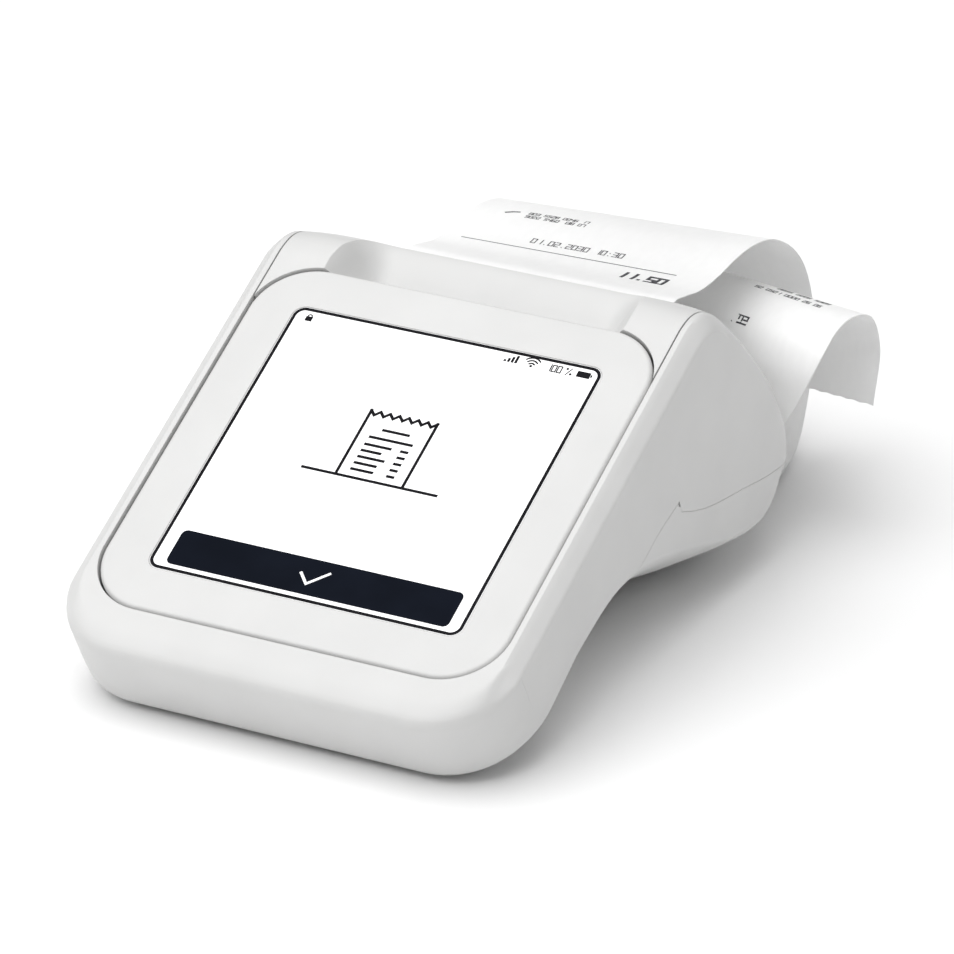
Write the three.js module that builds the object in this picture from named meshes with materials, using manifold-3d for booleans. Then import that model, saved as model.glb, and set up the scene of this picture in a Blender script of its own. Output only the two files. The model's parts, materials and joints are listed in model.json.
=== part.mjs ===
// A compact card payment terminal docked in a cradle that holds a receipt printer.
// Millimetres. +X is the right-hand side, +Y the back, +Z up. The origin is on the table, in the middle
// of the front foot.
import * as THREE from "three";
import { mergeVertices } from "three/addons/utils/BufferGeometryUtils.js";
import Module from "manifold-3d";

const wasm = await Module();
wasm.setup();

// ---- Driving dimensions -------------------------------------------------------------------------
const TILT = THREE.MathUtils.degToRad(27.7); // slope of the face
const FACE_Z = 40; // middle of the display, above the table
const TERMINAL = 84; // side of the square terminal
const TERMINAL_DEPTH = 16; // front face to rear case
const TERMINAL_CORNER = 12; // corner radius seen from the front
const DISPLAY = 65; // side of the display lens
const PAPER = 57; // width of the receipt roll
const HALF_WIDTH = 46.3; // cradle, middle to side wall
const WALL = 2; // wall of the cradle's mouldings
const GAP = 0.3; // clearance between neighbouring pieces
const SEAM = 0.4; // visible gap round the docked terminal
const ROLL_RADIUS = 16; // full paper roll
const PLATEN_RADIUS = 4; // rubber roller that feeds the paper
const MODULE = 0.7; // gear tooth size: pitch diameter over teeth

// ---- Worked-out sizes ---------------------------------------------------------------------------
const HALF = TERMINAL / 2;
const FRONT_WALL = HALF + 10; // front wall of the cradle, along the slope from the display's middle
const RIM_FRONT = FRONT_WALL - 4; // flat rim in front of the terminal ends here
const RIM_SIDE = HALF + 1.6; // flat rim beside the terminal ends here
const FRONT_CORNER = 16; // radius of the cradle's front corners
const REAR_CORNER = 14; // radius of the cradle's rear corners
const EDGE_DROP = 2.5; // how far the chamfer beside the rim falls
const DOOR_HALF = 38; // paper door, middle to side
const TRAY_WALL = 1.2;
const TRAY_FLOOR = -(TERMINAL_DEPTH + 0.4); // floor of the dock tray in the face frame
const ROLL_AT = [63, 22.5];
const PLATEN_AT = [61.8, 44.1];
const HINGE_AT = [86.6, 19.3];
const PLATEN_TEETH = 12;
const IDLER_TEETH = 18;
const PINION_TEETH = 10;
const GEAR_X = 33; // inner face of the gear train
const GEAR_WIDTH = 2.6;
const STRIP_THICKNESS = 0.4;
const X_AXIS = new THREE.Vector3(1, 0, 0);

// ---- Materials ----------------------------------------------------------------------------------
function finish(color, roughness, metalness) {
  return new THREE.MeshStandardMaterial({ color, roughness, metalness });
}
const whiteShell = () => finish(0xf0f0ef, 0.55, 0);
const greyPlastic = () => finish(0xb9bbbd, 0.6, 0);
const blackPlastic = () => finish(0x17181a, 0.5, 0);
const displayGlass = () => finish(0xfcfcfc, 0.12, 0);
const boardGreen = () => finish(0x1d5a3a, 0.5, 0.1);
const steel = () => finish(0xb4b7ba, 0.35, 0.9);
const gold = () => finish(0xc8a24a, 0.3, 0.9);
const blackRubber = () => finish(0x202022, 0.9, 0);
const greyRubber = () => finish(0x8d8f91, 0.9, 0);
const thermalPaper = () => finish(0xf7f7f5, 0.85, 0);
const cardboard = () => finish(0xa98c66, 0.9, 0);
const cellWrap = () => finish(0x3a4048, 0.6, 0);

// ---- Solids -------------------------------------------------------------------------------------
// A closed geometry as a solid that can be joined and cut.
function solid(geometry) {
  const plain = geometry.clone();
  for (const name of Object.keys(plain.attributes)) {
    if (name !== "position") plain.deleteAttribute(name);
  }
  const merged = mergeVertices(plain, 1e-4);
  return new wasm.Manifold(
    new wasm.Mesh({
      numProp: 3,
      vertProperties: merged.attributes.position.array,
      triVerts: new Uint32Array(merged.index.array),
    }),
  );
}

function geometryOf(body) {
  const mesh = body.getMesh();
  const geometry = new THREE.BufferGeometry();
  geometry.setAttribute("position", new THREE.BufferAttribute(mesh.vertProperties, 3));
  geometry.setIndex(new THREE.BufferAttribute(mesh.triVerts, 1));
  geometry.computeVertexNormals();
  return geometry;
}

function moved(geometry, x, y, z) {
  return geometry.translate(x, y, z);
}

function box(x0, x1, y0, y1, z0, z1) {
  const geometry = new THREE.BoxGeometry(x1 - x0, y1 - y0, z1 - z0);
  return moved(geometry, (x0 + x1) / 2, (y0 + y1) / 2, (z0 + z1) / 2);
}

// A cylinder along X between two places, centred on [y, z].
function rodX(radius, x0, x1, at, sides = 24) {
  const geometry = new THREE.CylinderGeometry(radius, radius, x1 - x0, sides);
  geometry.rotateZ(-Math.PI / 2);
  return moved(geometry, (x0 + x1) / 2, at[0], at[1]);
}

// A cylinder along Z.
function rodZ(radius, z0, z1, x, y, sides = 20) {
  const geometry = new THREE.CylinderGeometry(radius, radius, z1 - z0, sides);
  geometry.rotateX(Math.PI / 2);
  return moved(geometry, x, y, (z0 + z1) / 2);
}

function ringX(outer, inner, x0, x1, at, sides = 24) {
  const profile = [
    new THREE.Vector2(inner, x0),
    new THREE.Vector2(outer, x0),
    new THREE.Vector2(outer, x1),
    new THREE.Vector2(inner, x1),
    new THREE.Vector2(inner, x0),
  ];
  const geometry = new THREE.LatheGeometry(profile, sides);
  geometry.rotateZ(-Math.PI / 2);
  return moved(geometry, 0, at[0], at[1]);
}

function roundedRect(halfX, halfY, radius) {
  const shape = new THREE.Shape();
  shape.moveTo(-halfX + radius, -halfY);
  shape.lineTo(halfX - radius, -halfY);
  shape.absarc(halfX - radius, -halfY + radius, radius, -Math.PI / 2, 0);
  shape.lineTo(halfX, halfY - radius);
  shape.absarc(halfX - radius, halfY - radius, radius, 0, Math.PI / 2);
  shape.lineTo(-halfX + radius, halfY);
  shape.absarc(-halfX + radius, halfY - radius, radius, Math.PI / 2, Math.PI);
  shape.lineTo(-halfX, -halfY + radius);
  shape.absarc(-halfX + radius, -halfY + radius, radius, Math.PI, Math.PI * 1.5);
  return shape;
}

// A rounded rectangle pulled up from z0 to z1.
function plate(halfX, halfY, radius, z0, z1, arcs = 5) {
  const settings = { depth: z1 - z0, bevelEnabled: false, curveSegments: arcs };
  return moved(new THREE.ExtrudeGeometry(roundedRect(halfX, halfY, radius), settings), 0, 0, z0);
}

// A plate whose two faces have small rounded edges.
function softPlate(halfX, halfY, radius, z0, z1, edge, arcs = 5) {
  const settings = {
    depth: z1 - z0 - 2 * edge,
    bevelThickness: edge,
    bevelSize: edge,
    bevelOffset: -edge,
    bevelSegments: 2,
    curveSegments: arcs,
  };
  return moved(
    new THREE.ExtrudeGeometry(roundedRect(halfX, halfY, radius), settings),
    0,
    0,
    z0 + edge,
  );
}

// An outline in the side view, [y, z] points, pulled from x0 to x1.
const SIDE_VIEW = new THREE.Matrix4().makeBasis(
  new THREE.Vector3(0, 1, 0),
  new THREE.Vector3(0, 0, 1),
  X_AXIS,
);
function prismX(points, x0, x1) {
  const shape = new THREE.Shape(points.map(([y, z]) => new THREE.Vector2(y, z)));
  const geometry = new THREE.ExtrudeGeometry(shape, { depth: x1 - x0, bevelEnabled: false });
  return moved(geometry.applyMatrix4(SIDE_VIEW), x0, 0, 0);
}

// Rings of equal length, each a closed outline in a plane of constant X, skinned into one closed solid.
function loft(rings) {
  const count = rings[0].length;
  const positions = rings.flat(2);
  const faces = [];
  for (let r = 0; r + 1 < rings.length; r += 1) {
    for (let i = 0; i < count; i += 1) {
      const next = (i + 1) % count;
      const [a, b] = [r * count + i, r * count + next];
      const [c, d] = [a + count, b + count];
      faces.push(a, b, d, a, d, c);
    }
  }
  const flat = (ring) => ring.map(([, y, z]) => new THREE.Vector2(y, z));
  const last = (rings.length - 1) * count;
  for (const [a, b, c] of THREE.ShapeUtils.triangulateShape(flat(rings[0]), [])) {
    faces.push(a, c, b);
  }
  for (const [a, b, c] of THREE.ShapeUtils.triangulateShape(flat(rings.at(-1)), [])) {
    faces.push(last + a, last + b, last + c);
  }
  const geometry = new THREE.BufferGeometry();
  geometry.setAttribute("position", new THREE.Float32BufferAttribute(positions, 3));
  geometry.setIndex(faces);
  return geometry;
}

function joined(...parts) {
  return parts.map((part) => (part.isBufferGeometry ? solid(part) : part)).reduce((a, b) => a.add(b));
}

function cut(body, ...tools) {
  const start = body.isBufferGeometry ? solid(body) : body;
  return tools
    .map((tool) => (tool.isBufferGeometry ? solid(tool) : tool))
    .reduce((a, b) => a.subtract(b), start);
}

// ---- Frames -------------------------------------------------------------------------------------
// Everything is built with Y counted from the middle of the display. The face frame is turned by the
// slope: its Y runs up the slope and its Z out of the display.
const FACE = new THREE.Matrix4().makeRotationX(TILT).setPosition(0, 0, FACE_Z);

function onFace(y, z = 0) {
  const point = new THREE.Vector3(0, y, z).applyMatrix4(FACE);
  return [point.y, point.z];
}

function tilted(geometry) {
  return geometry.applyMatrix4(FACE);
}

// ---- Outer form of the cradle -------------------------------------------------------------------
// The side view of the cradle, walked from the front wall over the top to the back and underneath.
// Each stretch has a middle outline, the outline at the side wall, and the distance from the middle
// where the rounding between them starts. "falls" marks the stretches that the side chamfer lowers.
// "power" is the fullness of that rounding: 2 is a quarter circle, 1 a straight slope.
const SWEEP_POWER = 1.2; // the long sweep underneath
const HEEL_POWER = 1.3; // the corner between the back and the underside
const SIDE_FRONT = -(FRONT_WALL - FRONT_CORNER);
const STRETCHES = [
  {
    middle: [[-34, 0.9], [-37.6, 1.3], onFace(-FRONT_WALL, -14.6)],
    side: [[-19, 9.5], [-24.5, 9], onFace(SIDE_FRONT, -14.6)],
    starts: HALF_WIDTH - FRONT_CORNER,
    steps: 4,
  },
  {
    middle: [onFace(-FRONT_WALL, -12), onFace(-FRONT_WALL, -1.4)],
    side: [onFace(SIDE_FRONT - 0.6, -12), onFace(SIDE_FRONT - 0.6, -EDGE_DROP - 0.2)],
    starts: HALF_WIDTH - FRONT_CORNER,
    steps: 1,
  },
  {
    middle: [onFace(-RIM_FRONT), onFace(-RIM_FRONT + 1)],
    side: [onFace(SIDE_FRONT), onFace(SIDE_FRONT + 1)],
    starts: HALF_WIDTH - FRONT_CORNER,
    ends: RIM_SIDE,
    steps: 1,
    falls: true,
  },
  {
    middle: [onFace(SIDE_FRONT + 4), onFace(0), onFace(43)],
    side: [onFace(SIDE_FRONT + 4), onFace(0), onFace(43)],
    starts: HALF_WIDTH - 1,
    steps: 4,
    falls: true,
  },
  {
    middle: [onFace(45), [44, 62.1], [48.5, 61.7], [53, 59.9], [57, 57.3]],
    side: [onFace(44.5), [42.6, 61.4], [46, 61], [49, 59.4], [51.5, 57.2]],
    starts: HALF_WIDTH - REAR_CORNER,
    ends: HALF_WIDTH - 0.4,
    steps: 7,
    falls: true,
  },
  {
    middle: [[62, 53.4], [70, 46.4], [78, 38.6], [84.5, 30.5], [87.8, 24], [88.6, 19]],
    side: [[54, 54], [60, 47.8], [66, 41], [71.5, 34], [75, 27], [76.5, 20]],
    starts: HALF_WIDTH - REAR_CORNER,
    steps: 9,
  },
  {
    middle: [[87, 13], [83, 7.2], [76, 2.8], [68, 0.9]],
    side: [[76, 17.4], [73.5, 14.2], [69, 12], [63, 12]],
    starts: 26,
    power: HEEL_POWER,
    steps: 5,
  },
  {
    middle: [[57, 0.9], [46, 2.6], [32, 6.4], [15, 7.2], [-5, 5], [-20, 2.2]],
    side: [[55, 13.2], [44, 16.6], [32, 20], [19, 22.8], [6, 22], [-8, 16.5]],
    starts: 24,
    power: SWEEP_POWER,
    steps: 10,
  },
];

// How far towards the side outline a point has moved at distance x from the middle.
function rounding(x, { starts, ends, power }) {
  const share = THREE.MathUtils.clamp((x - starts) / (ends - starts), 0, 1);
  return 1 - (1 - share ** power) ** (1 / power);
}

function sampled(points, steps) {
  if (points.length === 2) {
    return points.map(([y, z]) => new THREE.Vector2(y, z));
  }
  return new THREE.SplineCurve(points.map(([y, z]) => new THREE.Vector2(y, z))).getPoints(steps);
}

const OUTLINE = STRETCHES.flatMap((stretch) => {
  const { starts, ends = HALF_WIDTH, power = 2, falls } = stretch;
  const inner = sampled(stretch.middle, stretch.steps);
  const outer = sampled(stretch.side, stretch.steps);
  return inner.map((point, i) => ({ middle: point, side: outer[i], falls, starts, ends, power }));
});

// The same outline with its closest points left out, for the hollow inside.
const SPACING = 3.4;
const COARSE_OUTLINE = OUTLINE.reduce((kept, entry) => {
  const last = kept.at(-1);
  const far = (name) => !last || last[name].distanceTo(entry[name]) > SPACING;
  return far("side") && far("middle") ? [...kept, entry] : kept;
}, []);

// The outline at distance x from the middle, drawn in by "inset" along its own normals.
function outlineAt(x, inset) {
  const reach = Math.abs(x);
  const points = (inset > 0 ? COARSE_OUTLINE : OUTLINE).map((entry) => {
    const point = entry.middle.clone().lerp(entry.side, rounding(reach, entry));
    if (entry.falls && reach > RIM_SIDE) {
      const drop = (EDGE_DROP * (reach - RIM_SIDE)) / (HALF_WIDTH - RIM_SIDE);
      point.x += drop * Math.sin(TILT);
      point.y -= drop * Math.cos(TILT);
    }
    return point;
  });
  const drawnIn = points.map((point, i) => {
    const before = points.at(i - 1);
    const after = points[(i + 1) % points.length];
    const along = after.clone().sub(before).normalize();
    return [point.x + along.y * inset, point.y - along.x * inset];
  });
  return drawnIn.reverse();
}

// Distances from the middle at which the cradle's form is cut into sections, closer near the side.
const SECTIONS = [0, 12, 22, 29, 34, 38, 41, RIM_SIDE, 45, 45.8, HALF_WIDTH];

// The whole cradle as one solid lump, or the hollow inside it.
function cradleForm(inset) {
  const shrink = (HALF_WIDTH - inset) / HALF_WIDTH;
  const right = SECTIONS.slice(1);
  const places = [...right.map((x) => -x).reverse(), 0, ...right];
  return loft(places.map((x) => outlineAt(x, inset).map(([y, z]) => [x * shrink, y, z])));
}

const FORM = solid(cradleForm(0));
const HOLLOW = solid(cradleForm(WALL));
const SKIN = FORM.subtract(HOLLOW);

// ---- Regions that divide the cradle's skin into mouldings ---------------------------------------
const WIDE = 60; // past both sides of everything
const INSERT_HALF = HALF + 0.1; // the top insert, middle to side
const INSERT_FROM = HALF - TERMINAL_CORNER + 0.5; // it starts beside the terminal's rear corners
const MOUTH_FRONT = 62.2; // back edge of the top insert
const MOUTH_BACK = 63.8; // upper edge of the paper door
const DOOR_FOOT = 21.4; // lower edge of the paper door
const COVER_TOP = DOOR_FOOT - 0.5; // bottom cover's edge under the door
const COVER_SEAM = [
  [-33, 3.2], [-12, 6], [0, 9.5], [8, 15.5], [14, 21.8], [20, 25], [24, 27],
  [33, 30], [34.5, 26.5], [44, 24], [60, 21.5], [75, 19.6], [100, 19.4],
];

function coverRegion(gap) {
  const seam = COVER_SEAM.map(([y, z]) => [y, z - gap]);
  const under = prismX([[-33 + gap, -5], ...seam, [100, -5]], -WIDE, WIDE);
  const half = DOOR_HALF + 0.3 - gap;
  return joined(under, box(-half, half, 80, 100, 10, COVER_TOP - gap));
}

function doorRegion(grow) {
  const front = MOUTH_BACK - grow;
  const half = DOOR_HALF + grow;
  const outline = [[front, 70], [front, 44], [80, DOOR_FOOT - grow], [110, DOOR_FOOT - grow], [110, 70]];
  return prismX(outline, -half, half);
}

function insertRegion(grow) {
  const half = INSERT_HALF + grow;
  const start = INSERT_FROM - grow;
  const back = MOUTH_FRONT + grow;
  const outline = [onFace(start, 8), onFace(start, -12), [44, 44], [56, 47.5], [back, 49], [back, 75]];
  return prismX(outline.reverse(), -half, half);
}

function terminalRegion(gap, depth) {
  const half = HALF + gap;
  return tilted(plate(half, half, TERMINAL_CORNER + gap, -depth, 12, 8));
}

// The hollow behind the terminal that leaves room for a card. Its floor rises from the terminal's
// rear edge to the crest, and its side walls sweep up to the horns at both ends.
const SCOOP_FLAT = 23; // half width of the level part of the floor
const SCOOP_TOP = 35; // half width where the walls meet the horns
function scoop(grow) {
  const floor = [onFace(38, -8.5), onFace(42.6, -8.5), [45, 53.4], [48.5, 56.4], [52, 58.6], [55, 59.1], [59, 57.6]];
  const above = [onFace(38, 2), onFace(42.6, 2), [45, 65], [49, 64.4], [54, 62.4], [57, 60.6], [60, 58.4]];
  const sink = (point) => new THREE.Vector2(point[0] + grow * 0.4, point[1] - grow);
  const low = new THREE.SplineCurve(floor.map(sink)).getPoints(12);
  const high = new THREE.SplineCurve(above.map(sink)).getPoints(12);
  const places = [0, 0.18, 0.36, 0.54, 0.72, 0.88, 1];
  const right = places.map((share) => [SCOOP_FLAT + (SCOOP_TOP - SCOOP_FLAT) * share + grow, share]);
  const stations = [...right.map(([x, share]) => [-x, share]).reverse(), ...right];
  const rings = stations.map(([x, share]) => {
    const lift = THREE.MathUtils.smoothstep(share, 0, 1);
    const line = low.map((point, i) => point.clone().lerp(high[i], lift));
    return [...line.map((point) => [x, point.x, point.y]), [x, 66, 78], [x, 33, 78]];
  });
  return loft(rings);
}

const SCOOP = solid(scoop(0));
const SCOOP_WALL = solid(scoop(WALL));

// ---- Mouldings of the cradle --------------------------------------------------------------------
const SOCKET = { x: -HALF_WIDTH, y: [39, 48], z: [30.5, 34] };

function outerShell() {
  const windowCut = terminalRegion(SEAM, 20);
  const socketHole = box(SOCKET.x - 2, SOCKET.x + 6, SOCKET.y[0], SOCKET.y[1], SOCKET.z[0], SOCKET.z[1]);
  const mouth = box(-DOOR_HALF - GAP, DOOR_HALF + GAP, MOUTH_FRONT - 1, MOUTH_BACK + 1, 44, 62);
  const hingeSlot = box(-DOOR_HALF - GAP, DOOR_HALF + GAP, 80, 100, COVER_TOP - 1, DOOR_FOOT);
  const regions = [insertRegion(GAP), doorRegion(GAP), coverRegion(0)];
  return cut(SKIN, windowCut, ...regions, mouth, hingeSlot, socketHole);
}

function topInsert() {
  const lump = FORM.subtract(SCOOP);
  const inside = HOLLOW.subtract(SCOOP_WALL);
  const gearClearance = box(GEAR_X - 0.6, GEAR_X + GEAR_WIDTH + 0.6, 58, 64, 44, 51.5);
  return cut(
    lump.subtract(inside).intersect(solid(insertRegion(0))),
    terminalRegion(SEAM, 20),
    gearClearance,
  );
}

const DOOR_KNUCKLES = [[-22, -14], [14, 22]];
const COVER_KNUCKLES = [[-29.5, -22.4], [-13.6, 13.6], [22.4, 29.5]];
const KNUCKLE_RADIUS = 1.8;
const PIN_RADIUS = 0.8;
const EAR_X = [28.9, 30.4]; // the ears on the door that carry the platen

function paperDoor() {
  const skin = SKIN.intersect(solid(doorRegion(0)));
  const [y, z] = HINGE_AT;
  const knuckles = DOOR_KNUCKLES.flatMap(([x0, x1]) => [
    rodX(KNUCKLE_RADIUS, x0, x1, HINGE_AT),
    box(x0, x1, y - 1.4, y + 1.1, z, DOOR_FOOT + 1),
  ]);
  const earOutline = [[58.9, 42], [68, 36.5], [82, 33], [84, 40], [66.5, 52.5], [62, 48.6], [58.9, 46.5]];
  const nearSurface = solid(cradleForm(WALL / 2));
  const ears = [-1, 1].map((hand) => {
    const [near, far] = hand < 0 ? [-EAR_X[1], -EAR_X[0]] : EAR_X;
    return solid(prismX(earOutline.toReversed(), near, far)).intersect(nearSurface);
  });
  const clear = [
    rodX(PIN_RADIUS + 0.2, -WIDE, WIDE, HINGE_AT, 16),
    rodX(2.65, -WIDE, WIDE, PLATEN_AT),
    box(-WIDE, WIDE, 50, MOUTH_BACK, 48.8, 60),
  ];
  return cut(joined(skin, ...knuckles, ...ears), ...clear);
}

const SCREW_AT = [
  { x: -20, y: -15, z: 3.6 },
  { x: 20, y: -15, z: 3.6 },
  { x: -24, y: 40, z: 5 },
  { x: 24, y: 40, z: 5 },
];
const FRONT_FOOT = { x: [-24, 24], y: [-31, -25] };
const REAR_FOOT = { x: [15, 27], y: [58.5, 66] };
const FOOT_HEIGHT = 1.3;

function footprint({ x, y }, hand, grow, top) {
  const low = Math.min(hand * x[0], hand * x[1]) - grow;
  const high = Math.max(hand * x[0], hand * x[1]) + grow;
  return box(low, high, y[0] - grow, y[1] + grow, top > FOOT_HEIGHT ? -1 : 0, top);
}

// Taken off the cover's upper edge, where the foot of the opening door passes.
const SWING_BEVEL = [[87.4, 21], [89.2, 19.2], [89.2, 21]];

function bottomCover() {
  const skin = SKIN.intersect(coverRegion(GAP));
  const knuckles = COVER_KNUCKLES.flatMap(([x0, x1]) => [
    rodX(KNUCKLE_RADIUS, x0, x1, HINGE_AT),
    box(x0, x1, HINGE_AT[0] - 1.6, HINGE_AT[0] + 0.9, HINGE_AT[1] - 3, HINGE_AT[1]),
  ]);
  const clear = [
    rodX(PIN_RADIUS + 0.2, -WIDE, WIDE, HINGE_AT, 16),
    ...DOOR_KNUCKLES.map(([x0, x1]) => rodX(KNUCKLE_RADIUS + 0.6, x0 - GAP, x1 + GAP, HINGE_AT)),
    prismX(SWING_BEVEL, -DOOR_HALF, DOOR_HALF),
    ...SCREW_AT.map(({ x, y }) => rodZ(2.3, -1, 12, x, y)),
    footprint(FRONT_FOOT, 1, GAP, FOOT_HEIGHT + GAP),
    footprint(REAR_FOOT, 1, GAP, FOOT_HEIGHT + GAP),
    footprint(REAR_FOOT, -1, GAP, FOOT_HEIGHT + GAP),
  ];
  return cut(joined(skin, ...knuckles), ...clear);
}

function dockTray() {
  const outer = HALF + 0.5 + TRAY_WALL;
  const inner = HALF + 0.5;
  const low = TRAY_FLOOR - 1.4;
  const body = tilted(plate(outer, outer, TERMINAL_CORNER + 0.5 + TRAY_WALL, low, -2.6, 6));
  const inside = tilted(plate(inner, inner, TERMINAL_CORNER + 0.5, TRAY_FLOOR, 5, 6));
  const contactHole = tilted(box(-9, 9, -37, -31, low - 1, 0));
  const fitted = solid(body).intersect(solid(cradleForm(WALL + GAP)));
  return cut(fitted, inside, contactHole, scoop(WALL + GAP));
}

function hingePin() {
  return rodX(PIN_RADIUS, -29.3, 29.3, HINGE_AT, 12);
}

// ---- Printer ------------------------------------------------------------------------------------
const PLATEN_PITCH = (MODULE * PLATEN_TEETH) / 2;
const IDLER_PITCH = (MODULE * IDLER_TEETH) / 2;
const PINION_PITCH = (MODULE * PINION_TEETH) / 2;
const MESH_SLACK = 0.1; // extra centre distance between meshing gears
// The idler sits in front of and below the platen, away from where the opening door carries it, and the
// pinion below the idler. Both falls are measured from level.
const IDLER_FALL = Math.atan2(19.5, 28);
const PINION_FALL = Math.atan2(8, 6);
const TO_IDLER = Math.PI + IDLER_FALL;
const TO_PINION = Math.PI + PINION_FALL;

function away(from, angle, distance) {
  return [from[0] + Math.cos(angle) * distance, from[1] + Math.sin(angle) * distance];
}

const IDLER_AT = away(PLATEN_AT, TO_IDLER, PLATEN_PITCH + IDLER_PITCH + MESH_SLACK);
const PINION_AT = away(IDLER_AT, TO_PINION, IDLER_PITCH + PINION_PITCH + MESH_SLACK);

// Tooth positions that let each gear's teeth fall between those of the gear it meets.
const PLATEN_PHASE = TO_IDLER;
const IDLER_PHASE = TO_IDLER + Math.PI + Math.PI / IDLER_TEETH;
const IDLER_STEP = (2 * Math.PI) / IDLER_TEETH;
const idlerTurns = (TO_PINION - IDLER_PHASE) / IDLER_STEP;
const idlerShift = (Math.round(idlerTurns) - idlerTurns) * IDLER_STEP;
const PINION_PHASE = TO_PINION + Math.PI - (idlerShift * IDLER_PITCH) / PINION_PITCH + Math.PI / PINION_TEETH;

// A spur gear about X. Each tooth is a trapezium: root, flank, tip, flank.
function gear(teeth, at, phase, boreRadius) {
  const pitch = (MODULE * teeth) / 2;
  const tip = pitch + 0.75 * MODULE;
  const root = pitch - 0.95 * MODULE;
  const step = (2 * Math.PI) / teeth;
  const points = [];
  for (let tooth = 0; tooth < teeth; tooth += 1) {
    const middle = phase + tooth * step;
    for (const [share, radius] of [[-0.29, root], [-0.11, tip], [0.11, tip], [0.29, root]]) {
      const angle = middle + share * step;
      points.push([at[0] + Math.cos(angle) * radius, at[1] + Math.sin(angle) * radius]);
    }
  }
  const blank = prismX(points, GEAR_X, GEAR_X + GEAR_WIDTH);
  return cut(blank, rodX(boreRadius, GEAR_X - 1, GEAR_X + GEAR_WIDTH + 1, at, 16));
}

const SHAFT_RADIUS = 1.5;
const AXLE_RADIUS = 1.4;
const MOTOR_SHAFT = 0.9;
const BORE_CLEARANCE = 0.15;
const FRAME_X = [31, 32.2]; // side plates of the print frame

function platenRoller() {
  const half = PAPER / 2;
  return solid(ringX(PLATEN_RADIUS, SHAFT_RADIUS + BORE_CLEARANCE, -half, half, PLATEN_AT, 28));
}

function platenBush(hand) {
  const [near, far] = hand < 0 ? [-EAR_X[1], -EAR_X[0]] : EAR_X;
  return solid(ringX(2.4, SHAFT_RADIUS + BORE_CLEARANCE, near, far, PLATEN_AT, 20));
}

function feedMotor() {
  const can = rodX(7, GEAR_X + GEAR_WIDTH + 0.9, 43.2, PINION_AT, 28);
  const shaft = rodX(MOTOR_SHAFT, FRAME_X[1] + 0.3, 40, PINION_AT, 12);
  return joined(can, shaft);
}

function printFrame() {
  const outline = [[40, 24], [52, 24], [56, 34], [56, 49], [52, 49.5], [49, 43.5], [40, 35.5]];
  const plates = [[-FRAME_X[1], -FRAME_X[0]], FRAME_X].map(([x0, x1]) => prismX(outline, x0, x1));
  const guide = box(-FRAME_X[1], FRAME_X[1], 48.2, 53.8, 41.4, 42.4);
  const wall = box(-FRAME_X[1], FRAME_X[1], 48.2, 49.4, 41.4, 46.8);
  const axleHole = rodX(AXLE_RADIUS + 0.1, 30, 33, IDLER_AT, 16);
  return cut(joined(...plates, guide, wall), axleHole);
}

// The print head's face stands just in front of the platen.
const HEAD_BACK = PLATEN_AT[0] - PLATEN_RADIUS - 0.4;

function printHead() {
  return solid(box(-28.6, 28.6, HEAD_BACK - 1.6, HEAD_BACK, 39.5, 49.5));
}

function headHeatsink() {
  const front = HEAD_BACK - 3.1;
  const plateBody = box(-28, 28, front, front + 1.2, 42.8, 49);
  const fins = [-20, -10, 0, 10, 20].map((x) => box(x - 0.6, x + 0.6, front - 2.4, front + 0.2, 47, 49));
  return joined(plateBody, ...fins);
}

// A coil spring between the print frame's wall and the heatsink.
function headSpring(x) {
  const turns = 4;
  const start = 49.8;
  const length = HEAD_BACK - 3.4 - 0.3 - start;
  class Coil extends THREE.Curve {
    getPoint(share, target = new THREE.Vector3()) {
      const angle = share * turns * 2 * Math.PI;
      const [across, up] = [1.5 * Math.cos(angle), 1.5 * Math.sin(angle)];
      return target.set(x + across, start + share * length, 44.8 + up);
    }
  }
  const wire = new THREE.Shape().absarc(0, 0, 0.22, 0, 2 * Math.PI);
  const settings = { steps: turns * 8, curveSegments: 2, extrudePath: new Coil(), bevelEnabled: false };
  return solid(new THREE.ExtrudeGeometry(wire, settings));
}

// A toothed steel strip under the back edge of the top insert, parallel to it.
const TEAR_EDGE = [61.8, 50.25];
const INSERT_FALL = THREE.MathUtils.degToRad(38); // slope of the insert at its back edge
const TEAR_BAR = { teeth: 19, depth: 0.7, width: 3, thickness: 0.6 };

function tearBar() {
  const half = PAPER / 2;
  const pitch = PAPER / TEAR_BAR.teeth;
  const shape = new THREE.Shape();
  shape.moveTo(-half, -TEAR_BAR.width);
  shape.lineTo(half, -TEAR_BAR.width);
  shape.lineTo(half, -TEAR_BAR.depth);
  for (let tooth = 0; tooth < TEAR_BAR.teeth; tooth += 1) {
    const right = half - tooth * pitch;
    shape.lineTo(right - pitch / 2, 0);
    shape.lineTo(right - pitch, -TEAR_BAR.depth);
  }
  const geometry = new THREE.ExtrudeGeometry(shape, { depth: TEAR_BAR.thickness, bevelEnabled: false });
  geometry.translate(0, 0, -TEAR_BAR.thickness / 2);
  return solid(moved(geometry.rotateX(-INSERT_FALL), 0, TEAR_EDGE[0], TEAR_EDGE[1]));
}

function paperSensor() {
  return joined(box(-5, 5, 49.4, 52.4, 39.2, 41), box(-1.5, 1.5, 52.2, 53.4, 39.6, 40.6));
}

const CORE_OUTER = 7;
const CORE_INNER = 6;
const HUB_X = [29.3, 30.7];

function paperRoll() {
  return solid(ringX(ROLL_RADIUS, CORE_OUTER + 0.2, -PAPER / 2, PAPER / 2, ROLL_AT, 40));
}

function rollCore() {
  return solid(ringX(CORE_OUTER, CORE_INNER, -PAPER / 2, PAPER / 2, ROLL_AT, 28));
}

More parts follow.
